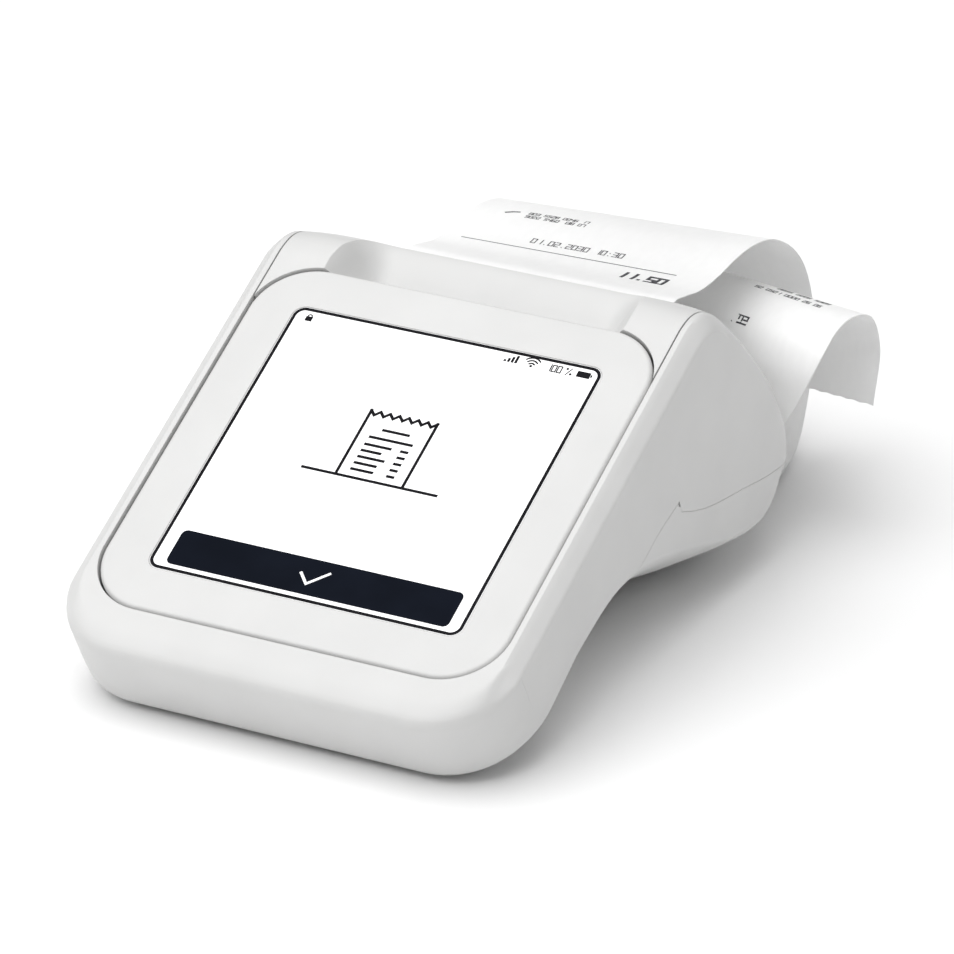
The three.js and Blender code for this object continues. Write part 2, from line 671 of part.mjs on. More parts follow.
function rollArm(hand) {
  const [near, far] = hand < 0 ? [-HUB_X[1], -HUB_X[0]] : HUB_X;
  const [y, z] = ROLL_AT;
  const disc = rodX(8, near, far, ROLL_AT, 24);
  const leg = box(near, far, y - 4, y + 4, 7.6, z);
  const stub = hand < 0 ? [far - 0.2, far + 3] : [near - 3, near + 0.2];
  return joined(disc, leg, rodX(CORE_INNER - 0.5, stub[0], stub[1], ROLL_AT, 24));
}

// ---- Printed receipt ----------------------------------------------------------------------------
// The strip is one ribbon. It starts in the mouth, arches over to the table, runs back and up into a
// second, smaller turn that drifts to the right.
const STRIP_PATH = [
  // [x, y, z, turn of the ribbon about Z in degrees]
  [0, 62.95, 50.9, 0], [0, 63.2, 53, 0], [0, 66, 54.4, 0], [0, 70, 54, 0.5], [0, 76, 53.2, 1.5],
  [0, 83, 53.6, 3], [0, 90, 54.8, 4], [0, 97, 55, 5], [0, 106, 53, 6], [0, 117, 46.4, 6],
  [0, 124, 38, 4], [0.3, 127.4, 25, 2], [0.6, 126.5, 12, -2], [2, 120.5, 4, -5], [3.6, 112, 2.4, -8],
  [5.4, 104, 4, -11], [8.4, 97.5, 11, -13], [13, 93.8, 21, -13.5], [17.6, 92.6, 29, -14],
  [20.7, 92.2, 35.4, -14], [22.2, 94.6, 40, -14], [22.2, 100, 42.2, -14], [22.2, 106.4, 42.4, -13],
  [22.2, 113, 39.4, -10], [22, 115.8, 31, -7], [21.7, 113.6, 19.8, -6.7],
];
const STRIP_STEPS = 46;

function receiptStrip() {
  const line = new THREE.CatmullRomCurve3(STRIP_PATH.map(([x, y, z]) => new THREE.Vector3(x, y, z)));
  const turns = new THREE.SplineCurve(STRIP_PATH.map(([, , , turn], i) => new THREE.Vector2(i, turn)));
  const positions = [];
  for (let step = 0; step <= STRIP_STEPS; step += 1) {
    const share = step / STRIP_STEPS;
    const centre = line.getPoint(share);
    const turn = THREE.MathUtils.degToRad(turns.getPoint(share).y);
    const across = new THREE.Vector3(Math.cos(turn), Math.sin(turn), 0);
    const up = across.clone().cross(line.getTangent(share)).normalize();
    for (const [side, face] of [[-1, -1], [1, -1], [1, 1], [-1, 1]]) {
      const corner = centre.clone().addScaledVector(across, (side * PAPER) / 2);
      positions.push(...corner.addScaledVector(up, (face * STRIP_THICKNESS) / 2).toArray());
    }
  }
  const faces = [0, 1, 2, 0, 2, 3];
  for (let step = 0; step < STRIP_STEPS; step += 1) {
    for (let side = 0; side < 4; side += 1) {
      const [a, b] = [step * 4 + side, step * 4 + ((side + 1) % 4)];
      faces.push(a, b + 4, b, a, a + 4, b + 4);
    }
  }
  const last = STRIP_STEPS * 4;
  faces.push(last, last + 2, last + 1, last, last + 3, last + 2);
  const geometry = new THREE.BufferGeometry();
  geometry.setAttribute("position", new THREE.Float32BufferAttribute(positions, 3));
  geometry.setIndex(faces);
  return solid(geometry);
}

// ---- Terminal, in the face frame: Z = 0 is its front face ---------------------------------------
const FRAME_DEPTH = 8; // depth of the front frame
const CASE_WALL = 1.6;
const SLOT = { half: 27.3, low: -5.9, high: -4.7 }; // card slot in the rear edge
const BUTTON = { y: [6, 18], z: [-12.8, -9.8] };
const CASE_SCREWS = [[-34, -34], [34, -34], [-34, 34], [34, 34]];

function frontFrame() {
  const body = softPlate(HALF, HALF, TERMINAL_CORNER, -FRAME_DEPTH, 0, 0.7, 8);
  const inner = HALF - CASE_WALL;
  const hollow = plate(inner, inner, TERMINAL_CORNER - CASE_WALL, -FRAME_DEPTH - 1, -2, 4);
  const lensHalf = DISPLAY / 2 + 0.15;
  const recess = plate(lensHalf, lensHalf, 2.6, -1.4, 1, 5);
  const opening = plate(lensHalf - 2, lensHalf - 2, 1.5, -3, 0, 2);
  const slot = box(-SLOT.half, SLOT.half, 38, HALF + 1, SLOT.low, SLOT.high);
  return cut(body, hollow, recess, opening, slot);
}

function displayLens() {
  return solid(plate(DISPLAY / 2, DISPLAY / 2, 2.4, -1.3, -0.05, 5));
}

function displayPanel() {
  return solid(plate(32, 32, 1.2, -4.2, -2.3, 2));
}

function nfcAntenna() {
  const outer = plate(38.5, 38.5, 9, -3.4, -2.9, 4);
  return cut(outer, plate(34, 34, 5, -4, -2, 4));
}

function cardReader() {
  const body = box(-30, 30, -8, 39.8, -7.6, -4.5);
  const channel = box(-SLOT.half, SLOT.half, -5, 45, SLOT.low, SLOT.high);
  const contactPocket = box(-8, 8, 5, 15, -8, -5.5);
  return cut(body, channel, box(-20, 20, -2, 30, -5, 0), contactPocket);
}

function cardContacts() {
  const bar = box(-6.5, 6.5, 6, 14, -7.2, -6.8);
  const springs = [-5, -1.7, 1.7, 5].map((x) => box(x - 0.6, x + 0.6, 8, 12, -7, -6.2));
  return joined(bar, ...springs);
}

function screwHoles(radius) {
  return CASE_SCREWS.map(([x, y]) => rodZ(radius, -20, 2, x, y, 12));
}

function midFrame() {
  const half = HALF - CASE_WALL - 0.6;
  return cut(plate(half, half, 9.6, -8.9, -8.1, 3), ...screwHoles(1.4));
}

function mainBoard() {
  const board = plate(38, 38, 8, -10.6, -9.6, 3);
  const parts = [
    box(-12, 4, -34, -22, -11.8, -10.4),
    box(12, 24, -34, -24, -11.6, -10.4),
    box(36, 38.4, 9, 15, -12.6, -10.4),
  ];
  return cut(joined(board, ...parts), ...screwHoles(1.4));
}

function terminalBattery() {
  return solid(softPlate(25, 17, 2, -14, -11.2, 0.5, 2).translate(0, -2, 0));
}

function speaker() {
  return solid(rodZ(6.5, -14, -11, 0, 28, 24));
}

function rearCase() {
  const body = softPlate(HALF, HALF, TERMINAL_CORNER, -TERMINAL_DEPTH, -FRAME_DEPTH - GAP, 0.9, 8);
  const inner = HALF - CASE_WALL;
  const floor = -TERMINAL_DEPTH + CASE_WALL;
  const hollow = plate(inner, inner, TERMINAL_CORNER - CASE_WALL, floor, 0, 4);
  const buttonHole = box(36, HALF + 1, BUTTON.y[0], BUTTON.y[1], BUTTON.z[0], BUTTON.z[1]);
  const padHole = box(-8.3, 8.3, -36.3, -31.7, -TERMINAL_DEPTH - 1, floor + 1);
  const grille = [-4, -2, 0, 2, 4].map((x) => rodZ(0.6, -TERMINAL_DEPTH - 1, floor + 1, x, 28, 8));
  return cut(body, hollow, buttonHole, padHole, ...screwHoles(1.9), ...grille);
}

function chargingPads() {
  return solid(box(-8, 8, -36, -32, -TERMINAL_DEPTH + 0.1, -13.4));
}

function caseScrew([x, y]) {
  const head = rodZ(1.6, -TERMINAL_DEPTH + 0.2, -14.4, x, y, 16);
  return joined(head, rodZ(0.9, -14.6, -7.2, x, y, 12));
}

function powerButton() {
  const [y0, y1] = BUTTON.y;
  const [z0, z1] = BUTTON.z;
  return solid(box(39.7, HALF + 0.2, y0 + GAP, y1 - GAP, z0 + GAP, z1 - GAP));
}

// ---- Under the dock tray, in the face frame -----------------------------------------------------
function dockContacts() {
  const holder = box(-8.6, 8.6, -36.6, -31.4, TRAY_FLOOR - 3.2, TRAY_FLOOR - 0.2);
  const pins = [-6, -2, 2, 6].map((x) => rodZ(0.6, TRAY_FLOOR - 0.4, TRAY_FLOOR + 0.15, x, -34, 12));
  return joined(holder, ...pins);
}

function cradleBoard() {
  const board = box(-33, 33, -20, 28, -21, -19.8);
  return joined(board, box(-30, -18, -14, 2, -22.4, -20.8), box(20, 30, 4, 16, -22, -20.8));
}

function cradleBattery() {
  return solid(box(-17, 17, 0, 26, -29.6, -22.9));
}

// ---- Fasteners, feet and socket -----------------------------------------------------------------
function coverScrew({ x, y, z }) {
  return joined(rodZ(2, z, z + 1.3, x, y, 16), rodZ(1, z + 1.1, z + 5, x, y, 12));
}

function chargingSocket() {
  const { x, y, z } = SOCKET;
  const body = box(x + 1, x + 8, y[0] + GAP, y[1] - GAP, z[0] + GAP, z[1] - GAP);
  const mouth = box(x, x + 6.5, y[0] + 1.1, y[1] - 1.1, z[0] + 1, z[1] - 1);
  return joined(cut(body, mouth), box(x + 3, x + 7, y[0] + 2, y[1] - 2, z[0] + 1.45, z[1] - 1.45));
}

// ---- Assembly -----------------------------------------------------------------------------------
const terminal = new THREE.Group();
const dock = new THREE.Group();
const printer = new THREE.Group();
const casing = new THREE.Group();
const root = new THREE.Group();

function add(group, name, body, material) {
  const mesh = new THREE.Mesh(geometryOf(body), material);
  mesh.name = name;
  group.add(mesh);
}

add(terminal, "terminal_front_frame", frontFrame(), whiteShell());
add(terminal, "display_lens", displayLens(), displayGlass());
add(terminal, "display_panel", displayPanel(), blackPlastic());
add(terminal, "contactless_antenna", nfcAntenna(), gold());
add(terminal, "card_reader", cardReader(), blackPlastic());
add(terminal, "card_contacts", cardContacts(), gold());
add(terminal, "terminal_mid_frame", midFrame(), steel());
add(terminal, "terminal_board", mainBoard(), boardGreen());
add(terminal, "terminal_battery", terminalBattery(), cellWrap());
add(terminal, "speaker", speaker(), blackPlastic());
add(terminal, "terminal_rear_case", rearCase(), whiteShell());
add(terminal, "charging_pads", chargingPads(), gold());
add(terminal, "power_button", powerButton(), greyPlastic());
CASE_SCREWS.forEach((at, i) => add(terminal, `terminal_screw_${i + 1}`, caseScrew(at), steel()));

add(dock, "dock_contacts", dockContacts(), blackPlastic());
add(dock, "cradle_board", cradleBoard(), boardGreen());
add(dock, "cradle_battery", cradleBattery(), cellWrap());

add(casing, "outer_shell", outerShell(), whiteShell());
add(casing, "top_insert", topInsert(), whiteShell());
add(casing, "dock_tray", dockTray(), whiteShell());
add(casing, "bottom_cover", bottomCover(), whiteShell());
add(casing, "charging_socket", chargingSocket(), steel());
SCREW_AT.forEach((at, i) => add(casing, `cover_screw_${i + 1}`, coverScrew(at), steel()));
add(casing, "front_foot", solid(footprint(FRONT_FOOT, 1, 0, FOOT_HEIGHT)), greyRubber());
add(casing, "rear_foot_left", solid(footprint(REAR_FOOT, -1, 0, FOOT_HEIGHT)), greyRubber());
add(casing, "rear_foot_right", solid(footprint(REAR_FOOT, 1, 0, FOOT_HEIGHT)), greyRubber());

add(printer, "paper_door", paperDoor(), whiteShell());
add(printer, "hinge_pin", solid(hingePin()), steel());
add(printer, "receipt_strip", receiptStrip(), thermalPaper());
add(printer, "platen_roller", platenRoller(), blackRubber());
add(printer, "platen_shaft", solid(rodX(SHAFT_RADIUS, -31.6, 35.8, PLATEN_AT, 16)), steel());
const platenGear = gear(PLATEN_TEETH, PLATEN_AT, PLATEN_PHASE, SHAFT_RADIUS + BORE_CLEARANCE);
add(printer, "platen_gear", platenGear, greyPlastic());
add(printer, "platen_bush_left", platenBush(-1), greyPlastic());
add(printer, "platen_bush_right", platenBush(1), greyPlastic());
add(printer, "idler_gear", gear(IDLER_TEETH, IDLER_AT, IDLER_PHASE, AXLE_RADIUS + BORE_CLEARANCE), greyPlastic());
add(printer, "idler_axle", solid(rodX(AXLE_RADIUS, 30.6, 36, IDLER_AT, 16)), steel());
add(printer, "motor_pinion", gear(PINION_TEETH, PINION_AT, PINION_PHASE, MOTOR_SHAFT + BORE_CLEARANCE), steel());
add(printer, "feed_motor", feedMotor(), steel());
add(printer, "print_frame", printFrame(), greyPlastic());
add(printer, "print_head", printHead(), blackPlastic());
add(printer, "head_heatsink", headHeatsink(), steel());
add(printer, "head_spring_left", headSpring(-15), steel());
add(printer, "head_spring_right", headSpring(15), steel());
add(printer, "tear_bar", tearBar(), steel());
add(printer, "paper_sensor", paperSensor(), blackPlastic());
add(printer, "paper_roll", paperRoll(), thermalPaper());
add(printer, "roll_core", rollCore(), cardboard());
add(printer, "roll_arm_left", rollArm(-1), greyPlastic());
add(printer, "roll_arm_right", rollArm(1), greyPlastic());

for (const tiltedGroup of [terminal, dock]) {
  tiltedGroup.position.z = FACE_Z;
  tiltedGroup.rotation.x = TILT;
}
const built = new THREE.Group();
built.add(terminal, dock, casing, printer);
built.position.y = -(FRONT_FOOT.y[0] + FRONT_FOOT.y[1]) / 2;
root.add(built);

export default root;
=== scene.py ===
"""Looks for the docked card payment terminal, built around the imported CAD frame.

The white mouldings are cut again from a finer skin than the CAD's facets, the receipt becomes a thin
curled sheet with its print, and the display gets its picture. Lengths in this file are millimetres
until a piece is made; a piece's mesh is in metres in the row frame.
"""

import json
import math

import bmesh
import bpy
from mathutils import Matrix, Vector


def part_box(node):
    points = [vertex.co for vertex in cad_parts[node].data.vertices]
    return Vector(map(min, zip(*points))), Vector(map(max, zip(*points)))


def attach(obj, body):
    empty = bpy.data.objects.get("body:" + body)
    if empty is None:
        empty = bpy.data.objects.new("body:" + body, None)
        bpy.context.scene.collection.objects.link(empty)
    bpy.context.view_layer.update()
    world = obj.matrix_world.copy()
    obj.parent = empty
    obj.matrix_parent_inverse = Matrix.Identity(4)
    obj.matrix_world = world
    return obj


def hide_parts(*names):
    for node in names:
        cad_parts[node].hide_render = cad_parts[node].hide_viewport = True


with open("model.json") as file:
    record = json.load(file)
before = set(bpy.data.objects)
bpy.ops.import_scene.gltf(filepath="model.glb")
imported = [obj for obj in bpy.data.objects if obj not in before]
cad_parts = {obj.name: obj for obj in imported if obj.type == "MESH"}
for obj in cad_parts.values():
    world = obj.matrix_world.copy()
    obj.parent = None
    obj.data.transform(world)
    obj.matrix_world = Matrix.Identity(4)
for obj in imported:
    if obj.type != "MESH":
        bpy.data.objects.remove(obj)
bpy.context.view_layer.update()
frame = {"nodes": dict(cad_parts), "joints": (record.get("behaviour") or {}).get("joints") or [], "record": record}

# ---- Places read from the frame -----------------------------------------------------------------
MM = 0.001
JOINTS = {joint["name"]: joint for joint in frame["joints"]}


def corners(node):
    low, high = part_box(node)
    return low / MM, high / MM


def pivot(joint):
    return Vector(JOINTS[joint]["pos_m"]) / MM


FACE_NORMAL = Vector(JOINTS["terminal_undock"]["axis"]).normalized()
TILT = math.atan2(-FACE_NORMAL.y, FACE_NORMAL.z)
LENS_LOW, LENS_HIGH = corners("display_lens")
LENS_THICKNESS = 1.25
LENS_SUNK = 0.05
DISPLAY_CENTRE = (LENS_LOW + LENS_HIGH) / 2 + FACE_NORMAL * (LENS_THICKNESS / 2 + LENS_SUNK)
DISPLAY = LENS_HIGH.x - LENS_LOW.x
HALF = corners("terminal_rear_case")[1].x
HALF_WIDTH = corners("outer_shell")[1].x
PAPER = 2 * corners("paper_roll")[1].x
HINGE_AT = pivot("paper_door_open").yz
PLATEN_AT = pivot("platen_spin").yz
ROLL_AT = pivot("roll_spin").yz

# The cradle's side view is drawn with Y counted from the middle of the display.
BEHIND = DISPLAY_CENTRE.y


# ---- Meshes -------------------------------------------------------------------------------------
SHARP = math.radians(30)  # edges of drawn pieces that stay sharp
CUT_SHARP = math.radians(32)  # edges of cut pieces and CAD nodes that stay sharp
ROD_SIDES = 64
WELL_SIDES = 48
CORNER_STEPS = 24
EDGE_STEPS = 5


def made(name, verts, faces):
    """An object from millimetre points, smooth except at its sharp edges."""
    mesh = bpy.data.meshes.new(name)
    mesh.from_pydata([Vector(v) * MM for v in verts], [], faces)
    shape = bmesh.new()
    shape.from_mesh(mesh)
    bmesh.ops.recalc_face_normals(shape, faces=shape.faces)
    shape.to_mesh(mesh)
    shape.free()
    mesh.shade_smooth()
    mesh.set_sharp_from_angle(angle=SHARP)
    piece = bpy.data.objects.new(name, mesh)
    bpy.context.scene.collection.objects.link(piece)
    return piece


def loft(rings, name="tool"):
    """Closed rings with equal numbers of points, skinned and capped."""
    count = len(rings[0])
    verts = [point for ring in rings for point in ring]
    faces = [list(range(count)), list(range(len(verts) - count, len(verts)))]
    for r in range(len(rings) - 1):
        for i in range(count):
            a, b = r * count + i, r * count + (i + 1) % count
            faces.append([a, b, b + count, a + count])
    return made(name, verts, faces)


def box(x0, x1, y0, y1, z0, z1):
    """Y is counted from the middle of the display."""
    ring = [(y0, z0), (y1, z0), (y1, z1), (y0, z1)]
    return prism(ring, x0, x1)


def prism(outline, x0, x1):
    """An outline in the side view, [y, z] points, pulled from x0 to x1."""
    return loft([[(x, y + BEHIND, z) for y, z in outline] for x in (x0, x1)])


def rod(radius, x0, x1, at):
    """A cylinder along X about a place in the row frame."""
    turn = [2 * math.pi * i / ROD_SIDES for i in range(ROD_SIDES)]
    ring = [(at[0] + radius * math.cos(a), at[1] + radius * math.sin(a)) for a in turn]
    return loft([[(x, y, z) for y, z in ring] for x in (x0, x1)])


def upright(x, y, radius, low, high):
    """A cylinder along Z at a place in the row frame."""
    turns = [2 * math.pi * i / WELL_SIDES for i in range(WELL_SIDES)]
    ring = [(x + radius * math.cos(a), y + radius * math.sin(a)) for a in turns]
    return loft([[(px, py, z) for px, py in ring] for z in (low, high)])


def rounded_rectangle(half_x, half_y, radius, steps=CORNER_STEPS):
    points = []
    for quarter, (sx, sy) in enumerate([(1, 1), (-1, 1), (-1, -1), (1, -1)]):
        for i in range(steps + 1):
            angle = math.pi / 2 * (quarter + i / steps)
            x = sx * (half_x - radius) + radius * math.cos(angle)
            points.append((x, sy * (half_y - radius) + radius * math.sin(angle)))
    return points


FACE = Matrix.Translation(DISPLAY_CENTRE) @ Matrix.Rotation(TILT, 4, "X")


def on_face(x, y, height=0.0):
    """A place in the face frame: X across, Y up the slope, height out of the front face."""
    return FACE @ Vector((x, y, height))


def plate(half_x, half_y, radius, low, high, edge=0.0):
    """A rounded rectangle in the face frame, from low to high, with edges rounded to radius edge."""
    levels = [(low, 0.0), (high, 0.0)]
    if edge > 0:
        turns = [math.pi / 2 * i / EDGE_STEPS for i in range(EDGE_STEPS + 1)]
        under = [(low + edge * (1 - math.sin(a)), edge * (1 - math.cos(a))) for a in reversed(turns)]
        over = [(high - edge * (1 - math.sin(a)), edge * (1 - math.cos(a))) for a in turns]
        levels = under + over
    rings = []
    for height, inset in levels:
        outline = rounded_rectangle(half_x - inset, half_y - inset, radius - inset)
        rings.append([on_face(x, y, height) for x, y in outline])
    return loft(rings)


def combine(body, tool, operation):
    """body joined with, cut by or kept within tool, which is used up."""
    step = body.modifiers.new("step", "BOOLEAN")
    step.object = tool
    step.operation = operation
    step.solver = "MANIFOLD"
    graph = bpy.context.evaluated_depsgraph_get()
    mesh = bpy.data.meshes.new_from_object(body.evaluated_get(graph))
    if not mesh.polygons:
        raise RuntimeError(f"a boolean left nothing of {body.name}")
    body.modifiers.clear()
    body.data = mesh
    bpy.data.objects.remove(tool)
    return body


def cut(body, *tools):
    for tool in tools:
        combine(body, tool, "DIFFERENCE")
    return body


def joined(body, *others):
    for other in others:
        combine(body, other, "UNION")
    return body


def within(body, region):
    return combine(body, region, "INTERSECT")


def copy_of(body):
    twin = body.copy()
    twin.data = body.data.copy()
    bpy.context.scene.collection.objects.link(twin)
    return twin


MERGE = 1e-7  # metres


def finished(piece, name):
    """Tidies a cut mesh, keeps its real edges sharp and gives it its name."""
    shape = bmesh.new()
    shape.from_mesh(piece.data)
    bmesh.ops.remove_doubles(shape, verts=shape.verts, dist=MERGE)
    bmesh.ops.dissolve_degenerate(shape, edges=shape.edges, dist=MERGE)
    shape.to_mesh(piece.data)
    shape.free()
    piece.data.shade_smooth()
    piece.data.set_sharp_from_angle(angle=CUT_SHARP)
    piece.name = name
    piece.data.name = name
    return piece


# ---- Outer form of the cradle -------------------------------------------------------------------
WALL = 2.0
GAP = 0.3
SEAM = 0.4
CORNER = 12.0  # terminal's corner radius
FRONT_CORNER = 16.0
REAR_CORNER = 14.0
FRONT_WALL = HALF + 10
RIM_FRONT = FRONT_WALL - 4
RIM_SIDE = HALF + 1.6
EDGE_DROP = 2.5
SIDE_FRONT = -(FRONT_WALL - FRONT_CORNER)


def slope(y, height=0.0):
    """A side-view point given along the slope and out of the face."""
    point = on_face(0, y, height)
    return (point.y - BEHIND, point.z)


# The side view walked from the front wall over the top to the back and underneath: the middle outline,
# the outline at the side wall, where the rounding between them starts and ends, spline steps,
# 1 when the side chamfer lowers the stretch, and the fullness of the rounding: 2 is a quarter circle,
# 1 a straight slope.
SWEEP_POWER = 1.2  # the long sweep underneath
HEEL_POWER = 1.3  # the corner between the back and the underside
STRETCHES = [
    ([(-34, 0.9), (-37.6, 1.3), slope(-FRONT_WALL, -14.6)],
     [(-19, 9.5), (-24.5, 9), slope(SIDE_FRONT, -14.6)], HALF_WIDTH - FRONT_CORNER, HALF_WIDTH, 12, 0, 2),
    ([slope(-FRONT_WALL, -12), slope(-FRONT_WALL, -1.4)],
     [slope(SIDE_FRONT - 0.6, -12), slope(SIDE_FRONT - 0.6, -EDGE_DROP - 0.2)],
     HALF_WIDTH - FRONT_CORNER, HALF_WIDTH, 1, 0, 2),
    ([slope(-RIM_FRONT), slope(1 - RIM_FRONT)], [slope(SIDE_FRONT), slope(SIDE_FRONT + 1)],
     HALF_WIDTH - FRONT_CORNER, RIM_SIDE, 1, 1, 2),
    ([slope(SIDE_FRONT + 4), slope(0), slope(43)], [slope(SIDE_FRONT + 4), slope(0), slope(43)],
     HALF_WIDTH - 1, HALF_WIDTH, 4, 1, 2),
    ([slope(45), (44, 62.1), (48.5, 61.7), (53, 59.9), (57, 57.3)],
     [slope(44.5), (42.6, 61.4), (46, 61), (49, 59.4), (51.5, 57.2)],
     HALF_WIDTH - REAR_CORNER, HALF_WIDTH - 0.4, 24, 1, 2),
    ([(62, 53.4), (70, 46.4), (78, 38.6), (84.5, 30.5), (87.8, 24), (88.6, 19)],
     [(54, 54), (60, 47.8), (66, 41), (71.5, 34), (75, 27), (76.5, 20)],
     HALF_WIDTH - REAR_CORNER, HALF_WIDTH, 36, 0, 2),
    ([(87, 13), (83, 7.2), (76, 2.8), (68, 0.9)],
     [(76, 17.4), (73.5, 14.2), (69, 12), (63, 12)], 26, HALF_WIDTH, 18, 0, HEEL_POWER),
    ([(57, 0.9), (46, 2.6), (32, 6.4), (15, 7.2), (-5, 5), (-20, 2.2)],
     [(55, 13.2), (44, 16.6), (32, 20), (19, 22.8), (6, 22), (-8, 16.5)],
     24, HALF_WIDTH, 30, 0, SWEEP_POWER),
]


def spline(points, steps):
    """Points along a uniform Catmull-Rom curve that starts and ends on its end points."""
    control = [Vector(point) for point in points]
    if len(control) == 2:
        return control
    last = len(control) - 1
    line = []
    for step in range(steps + 1):
        place = last * step / steps
        i = min(int(place), last - 1)
        w = place - i
        before, a, b, after = (control[min(max(k, 0), last)] for k in (i - 1, i, i + 1, i + 2))
        leave, arrive = (b - before) / 2, (after - a) / 2
        line.append((2 * a - 2 * b + leave + arrive) * w**3 + (3 * b - 3 * a - 2 * leave - arrive) * w**2
                    + leave * w + a)
    return line


OUTLINE = [
    (inner, outer, starts, ends, falls, power)
    for middle, side, starts, ends, steps, falls, power in STRETCHES
    for inner, outer in zip(spline(middle, steps), spline(side, steps))
]
POINT_SPACING = 1.1
EDGE_ROUND = 0.4  # radius where the chamfer meets the side wall
SOFTENING = 2  # passes that round the creases between stretches


def rounding(x, starts, ends, power):
    """How far towards the side outline a point has moved at distance x from the middle."""
    share = min(max((x - starts) / (ends - starts), 0), 1)
    return 1 - (1 - share**power) ** (1 / power)


def raw_outline(x):
    """The side view at distance x from the middle, with its creases still sharp."""
    points = []
    for inner, outer, starts, ends, falls, power in OUTLINE:
        point = inner.lerp(outer, rounding(x, starts, ends, power))
        if falls and x > RIM_SIDE:
            drop = EDGE_DROP * (x - RIM_SIDE) / (HALF_WIDTH - RIM_SIDE)
            point += Vector((drop * math.sin(TILT), -drop * math.cos(TILT)))
        points.append(point)
    return points


MIDDLE = raw_outline(0)
SPLITS = [
    max(1, round((MIDDLE[(i + 1) % len(MIDDLE)] - point).length / POINT_SPACING))
    for i, point in enumerate(MIDDLE)
]


def drawn_in(points, inset):
    """An outline moved inwards along its own normals."""
    ring = []
    for i, point in enumerate(points):
        along = (points[(i + 1) % len(points)] - points[i - 1]).normalized()
        ring.append((point.x + along.y * inset, point.y - along.x * inset))
    return ring


def skin_outline(x):
    """The cradle's outside at distance x from the middle, with softened creases."""
    points = raw_outline(x)
    dense = []
    for i, (point, parts) in enumerate(zip(points, SPLITS)):
        after = points[(i + 1) % len(points)]
        dense += [point.lerp(after, part / parts) for part in range(parts)]
    count = len(dense)
    for _ in range(SOFTENING):
        dense = [(dense[i - 1] + 2 * dense[i] + dense[(i + 1) % count]) / 4 for i in range(count)]
    near_side = min(max((x - HALF_WIDTH + EDGE_ROUND) / EDGE_ROUND, 0), 1)
    return drawn_in(dense, EDGE_ROUND * (1 - math.sqrt(1 - near_side * near_side)))


# The hollow's outline has fewer points, so that drawing it in never makes it cross itself.
HOLLOW_SPACING = 3.4
SIDE = raw_outline(HALF_WIDTH)
SPARSE = [0]
for index in range(1, len(MIDDLE)):
    if all((line[index] - line[SPARSE[-1]]).length > HOLLOW_SPACING for line in (MIDDLE, SIDE)):
        SPARSE.append(index)


SECTIONS = 40  # from the middle to a side; they gather towards the side


def cradle_form(inset=0.0):
    """The whole cradle as one lump, or the hollow inside it."""
    right = [HALF_WIDTH * math.sin(math.pi / 2 * i / SECTIONS) for i in range(1, SECTIONS + 1)]
    shrink = (HALF_WIDTH - inset) / HALF_WIDTH
    rings = []
    for x in [-x for x in reversed(right)] + [0.0] + right:
        if inset:
            points = raw_outline(abs(x))
            ring = drawn_in([points[i] for i in SPARSE], inset)
        else:
            ring = skin_outline(abs(x))
        rings.append([(x * shrink, y + BEHIND, z) for y, z in ring])
    return loft(rings, "form")


# ---- Regions that divide the skin into mouldings ------------------------------------------------
WIDE = 60.0  # past both sides of everything
INSERT_HALF = HALF + 0.1
INSERT_FROM = HALF - CORNER + 0.5
MOUTH_FRONT = 62.2  # back edge of the top insert
MOUTH_BACK = 63.8  # upper edge of the paper door
DOOR_HALF = corners("paper_door")[1].x
DOOR_FOOT = 21.4
COVER_TOP = DOOR_FOOT - 0.5
BEHIND_DOOR = (80, 99)
SEAM_STEPS = 40
COVER_SEAM = [(-33, 3.2), (-12, 6), (0, 9.5), (8, 15.5), (14, 21.8), (20, 25), (24, 27), (32.4, 30)]
COVER_SEAM_REAR = [(33.4, 27.4), (44, 24), (60, 21.5), (75, 19.6), (100, 19.4)]
COVER_START = -33.0
COVER_END = 100.0
BELOW = -5.0  # under everything
PRY_NOTCH = [(31.2, 31), (33.8, 31), (32.9, 28.8), (32.2, 28.8)]  # at the peak of the seam
HAIRLINE = 0.04  # the tight gap that shows along the seam


def cover_region(gap):
    """Everything below the seam at the sides and below the door's foot at the back."""
    lines = [spline(line, SEAM_STEPS) for line in (COVER_SEAM, COVER_SEAM_REAR)]
    seam = [(y, z - gap) for line in lines for y, z in line]
    under = prism([(COVER_START + gap, BELOW)] + seam + [(COVER_END, BELOW)], -WIDE, WIDE)
    half = DOOR_HALF + GAP - gap
    return joined(under, box(-half, half, *BEHIND_DOOR, 10, COVER_TOP - gap))


def door_region(grow):
    """The rear opening, from the mouth down to the hinge."""
    front, foot = MOUTH_BACK - grow, DOOR_FOOT - grow
    outline = [(front, 70), (front, 44), (80, foot), (110, foot), (110, 70)]
    return prism(outline, -DOOR_HALF - grow, DOOR_HALF + grow)


def insert_region(grow):
    """The crest between the terminal's rear corners and the mouth."""
    start, back, half = INSERT_FROM - grow, MOUTH_FRONT + grow, INSERT_HALF + grow
    outline = [slope(start, 8), slope(start, -12), (44, 44), (56, 47.5), (back, 49), (back, 75)]
    return prism(outline, -half, half)


TERMINAL_ROOM = (-20.0, 12)  # heights in the face frame


def terminal_region(gap):
    return plate(HALF + gap, HALF + gap, CORNER + gap, *TERMINAL_ROOM)


SCOOP_FLAT = 23.0  # half width of the level part of the scoop's floor
SCOOP_TOP = 35.0  # half width where its walls meet the horns
SCOOP_STEPS = 20
SCOOP_LINE_STEPS = 48
SCOOP_LIFT = 0.4  # how much of its growth goes backwards
SCOOP_ROOF = [(66, 78), (33, 78)]


